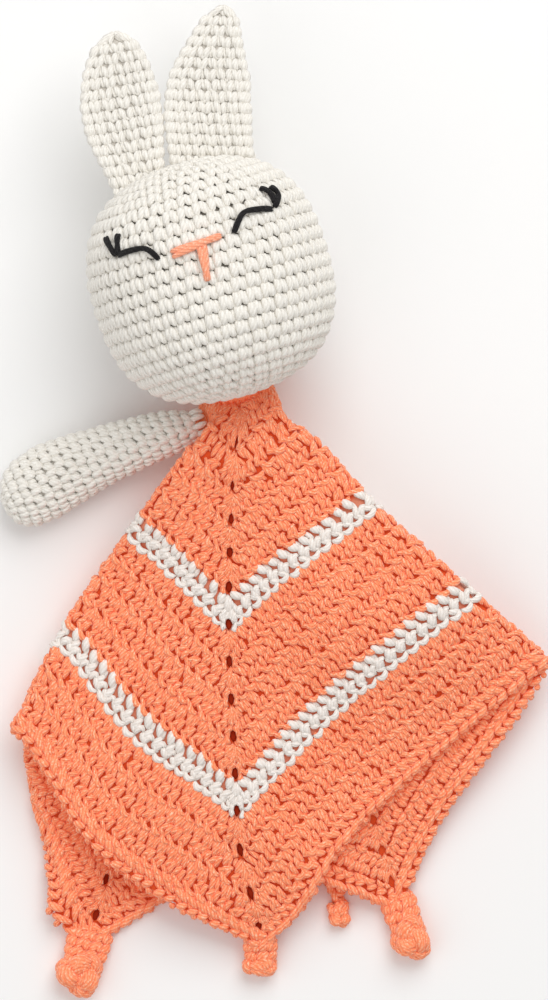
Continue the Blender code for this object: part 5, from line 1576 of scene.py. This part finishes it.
class LOVEY_OT_stage(bpy.types.Operator):
    """Sets the camera, the floor and the lights"""
    bl_idname = "lovey.stage"
    bl_label = "Stage"

    def execute(self, context):
        settings = context.scene.lovey_stage
        size = settings.floor_size / 2
        mesh = bpy.data.meshes.new("floor")
        mesh.from_pydata([(-size, -size, 0), (size, -size, 0), (size, size, 0), (-size, size, 0)], [],
                         [(0, 1, 2, 3)])
        material, _, shader = shader_of("floor_look")
        shader.inputs["Base Color"].default_value = FLOOR_COLOUR
        shader.inputs["Roughness"].default_value = 0.7
        mesh.materials.append(material)
        floor = bpy.data.objects.new("floor", mesh)
        context.scene.collection.objects.link(floor)
        data = bpy.data.cameras.new("camera")
        data.sensor_width = SENSOR_WIDTH
        distance = settings.camera_height - TOY_HEIGHT
        data.lens = SENSOR_WIDTH * distance / settings.view_length
        data.clip_end = CAMERA_REACH
        camera = bpy.data.objects.new("camera", data)
        camera.location = (settings.camera_x, settings.camera_y, settings.camera_height)
        context.scene.collection.objects.link(camera)
        context.scene.camera = camera
        for name, place, width in LAMPS:
            lamp = bpy.data.lights.new(name, "AREA")
            lamp.size = width
            lamp.energy = getattr(settings, name + "_power")
            holder = bpy.data.objects.new(name, lamp)
            holder.location = place
            holder.rotation_mode = "QUATERNION"
            holder.rotation_quaternion = Vector(place).to_track_quat("Z", "Y")
            context.scene.collection.objects.link(holder)
        context.scene.view_settings.view_transform = "Standard"
        world = bpy.data.worlds.new("room")
        world.use_nodes = True
        background = world.node_tree.nodes["Background"]
        background.inputs["Color"].default_value = ROOM_COLOUR
        background.inputs["Strength"].default_value = settings.world
        context.scene.world = world
        return {"FINISHED"}


class LOVEY_PT_panel(bpy.types.Panel):
    """Lists the pieces' operators"""
    bl_idname = "LOVEY_PT_panel"
    bl_label = "Comfort blanket"
    bl_space_type = "VIEW_3D"
    bl_region_type = "UI"
    bl_category = "Lovey"

    def draw(self, context):
        for operator in OPERATORS:
            self.layout.operator(operator.bl_idname)


OPERATORS = (LOVEY_OT_stage, LOVEY_OT_blanket, LOVEY_OT_head, LOVEY_OT_ears, LOVEY_OT_arms,
             LOVEY_OT_face, LOVEY_OT_knots, LOVEY_OT_seams)
GROUPS = {"lovey_yarn": LoveyYarnSettings, "lovey_stitch": LoveyStitchSettings,
          "lovey_stage": LoveyStageSettings}


def register():
    """Registers the settings, the operators and the panel."""
    for name, group in GROUPS.items():
        bpy.utils.register_class(group)
        setattr(bpy.types.Scene, name, bpy.props.PointerProperty(type=group))
    for operator in OPERATORS:
        bpy.utils.register_class(operator)
    bpy.utils.register_class(LOVEY_PT_panel)


def unregister():
    """Takes them away again."""
    bpy.utils.unregister_class(LOVEY_PT_panel)
    for operator in reversed(OPERATORS):
        bpy.utils.unregister_class(operator)
    for name, group in reversed(GROUPS.items()):
        delattr(bpy.types.Scene, name)
        bpy.utils.unregister_class(group)


def main():
    """Builds the whole toy."""
    register()
    bpy.ops.lovey.stage()
    bpy.ops.lovey.blanket()
    bpy.ops.lovey.head()
    bpy.ops.lovey.ears()
    bpy.ops.lovey.arms()
    bpy.ops.lovey.face()
    bpy.ops.lovey.knots()
    bpy.ops.lovey.seams()


if __name__ == "__main__":
    main()
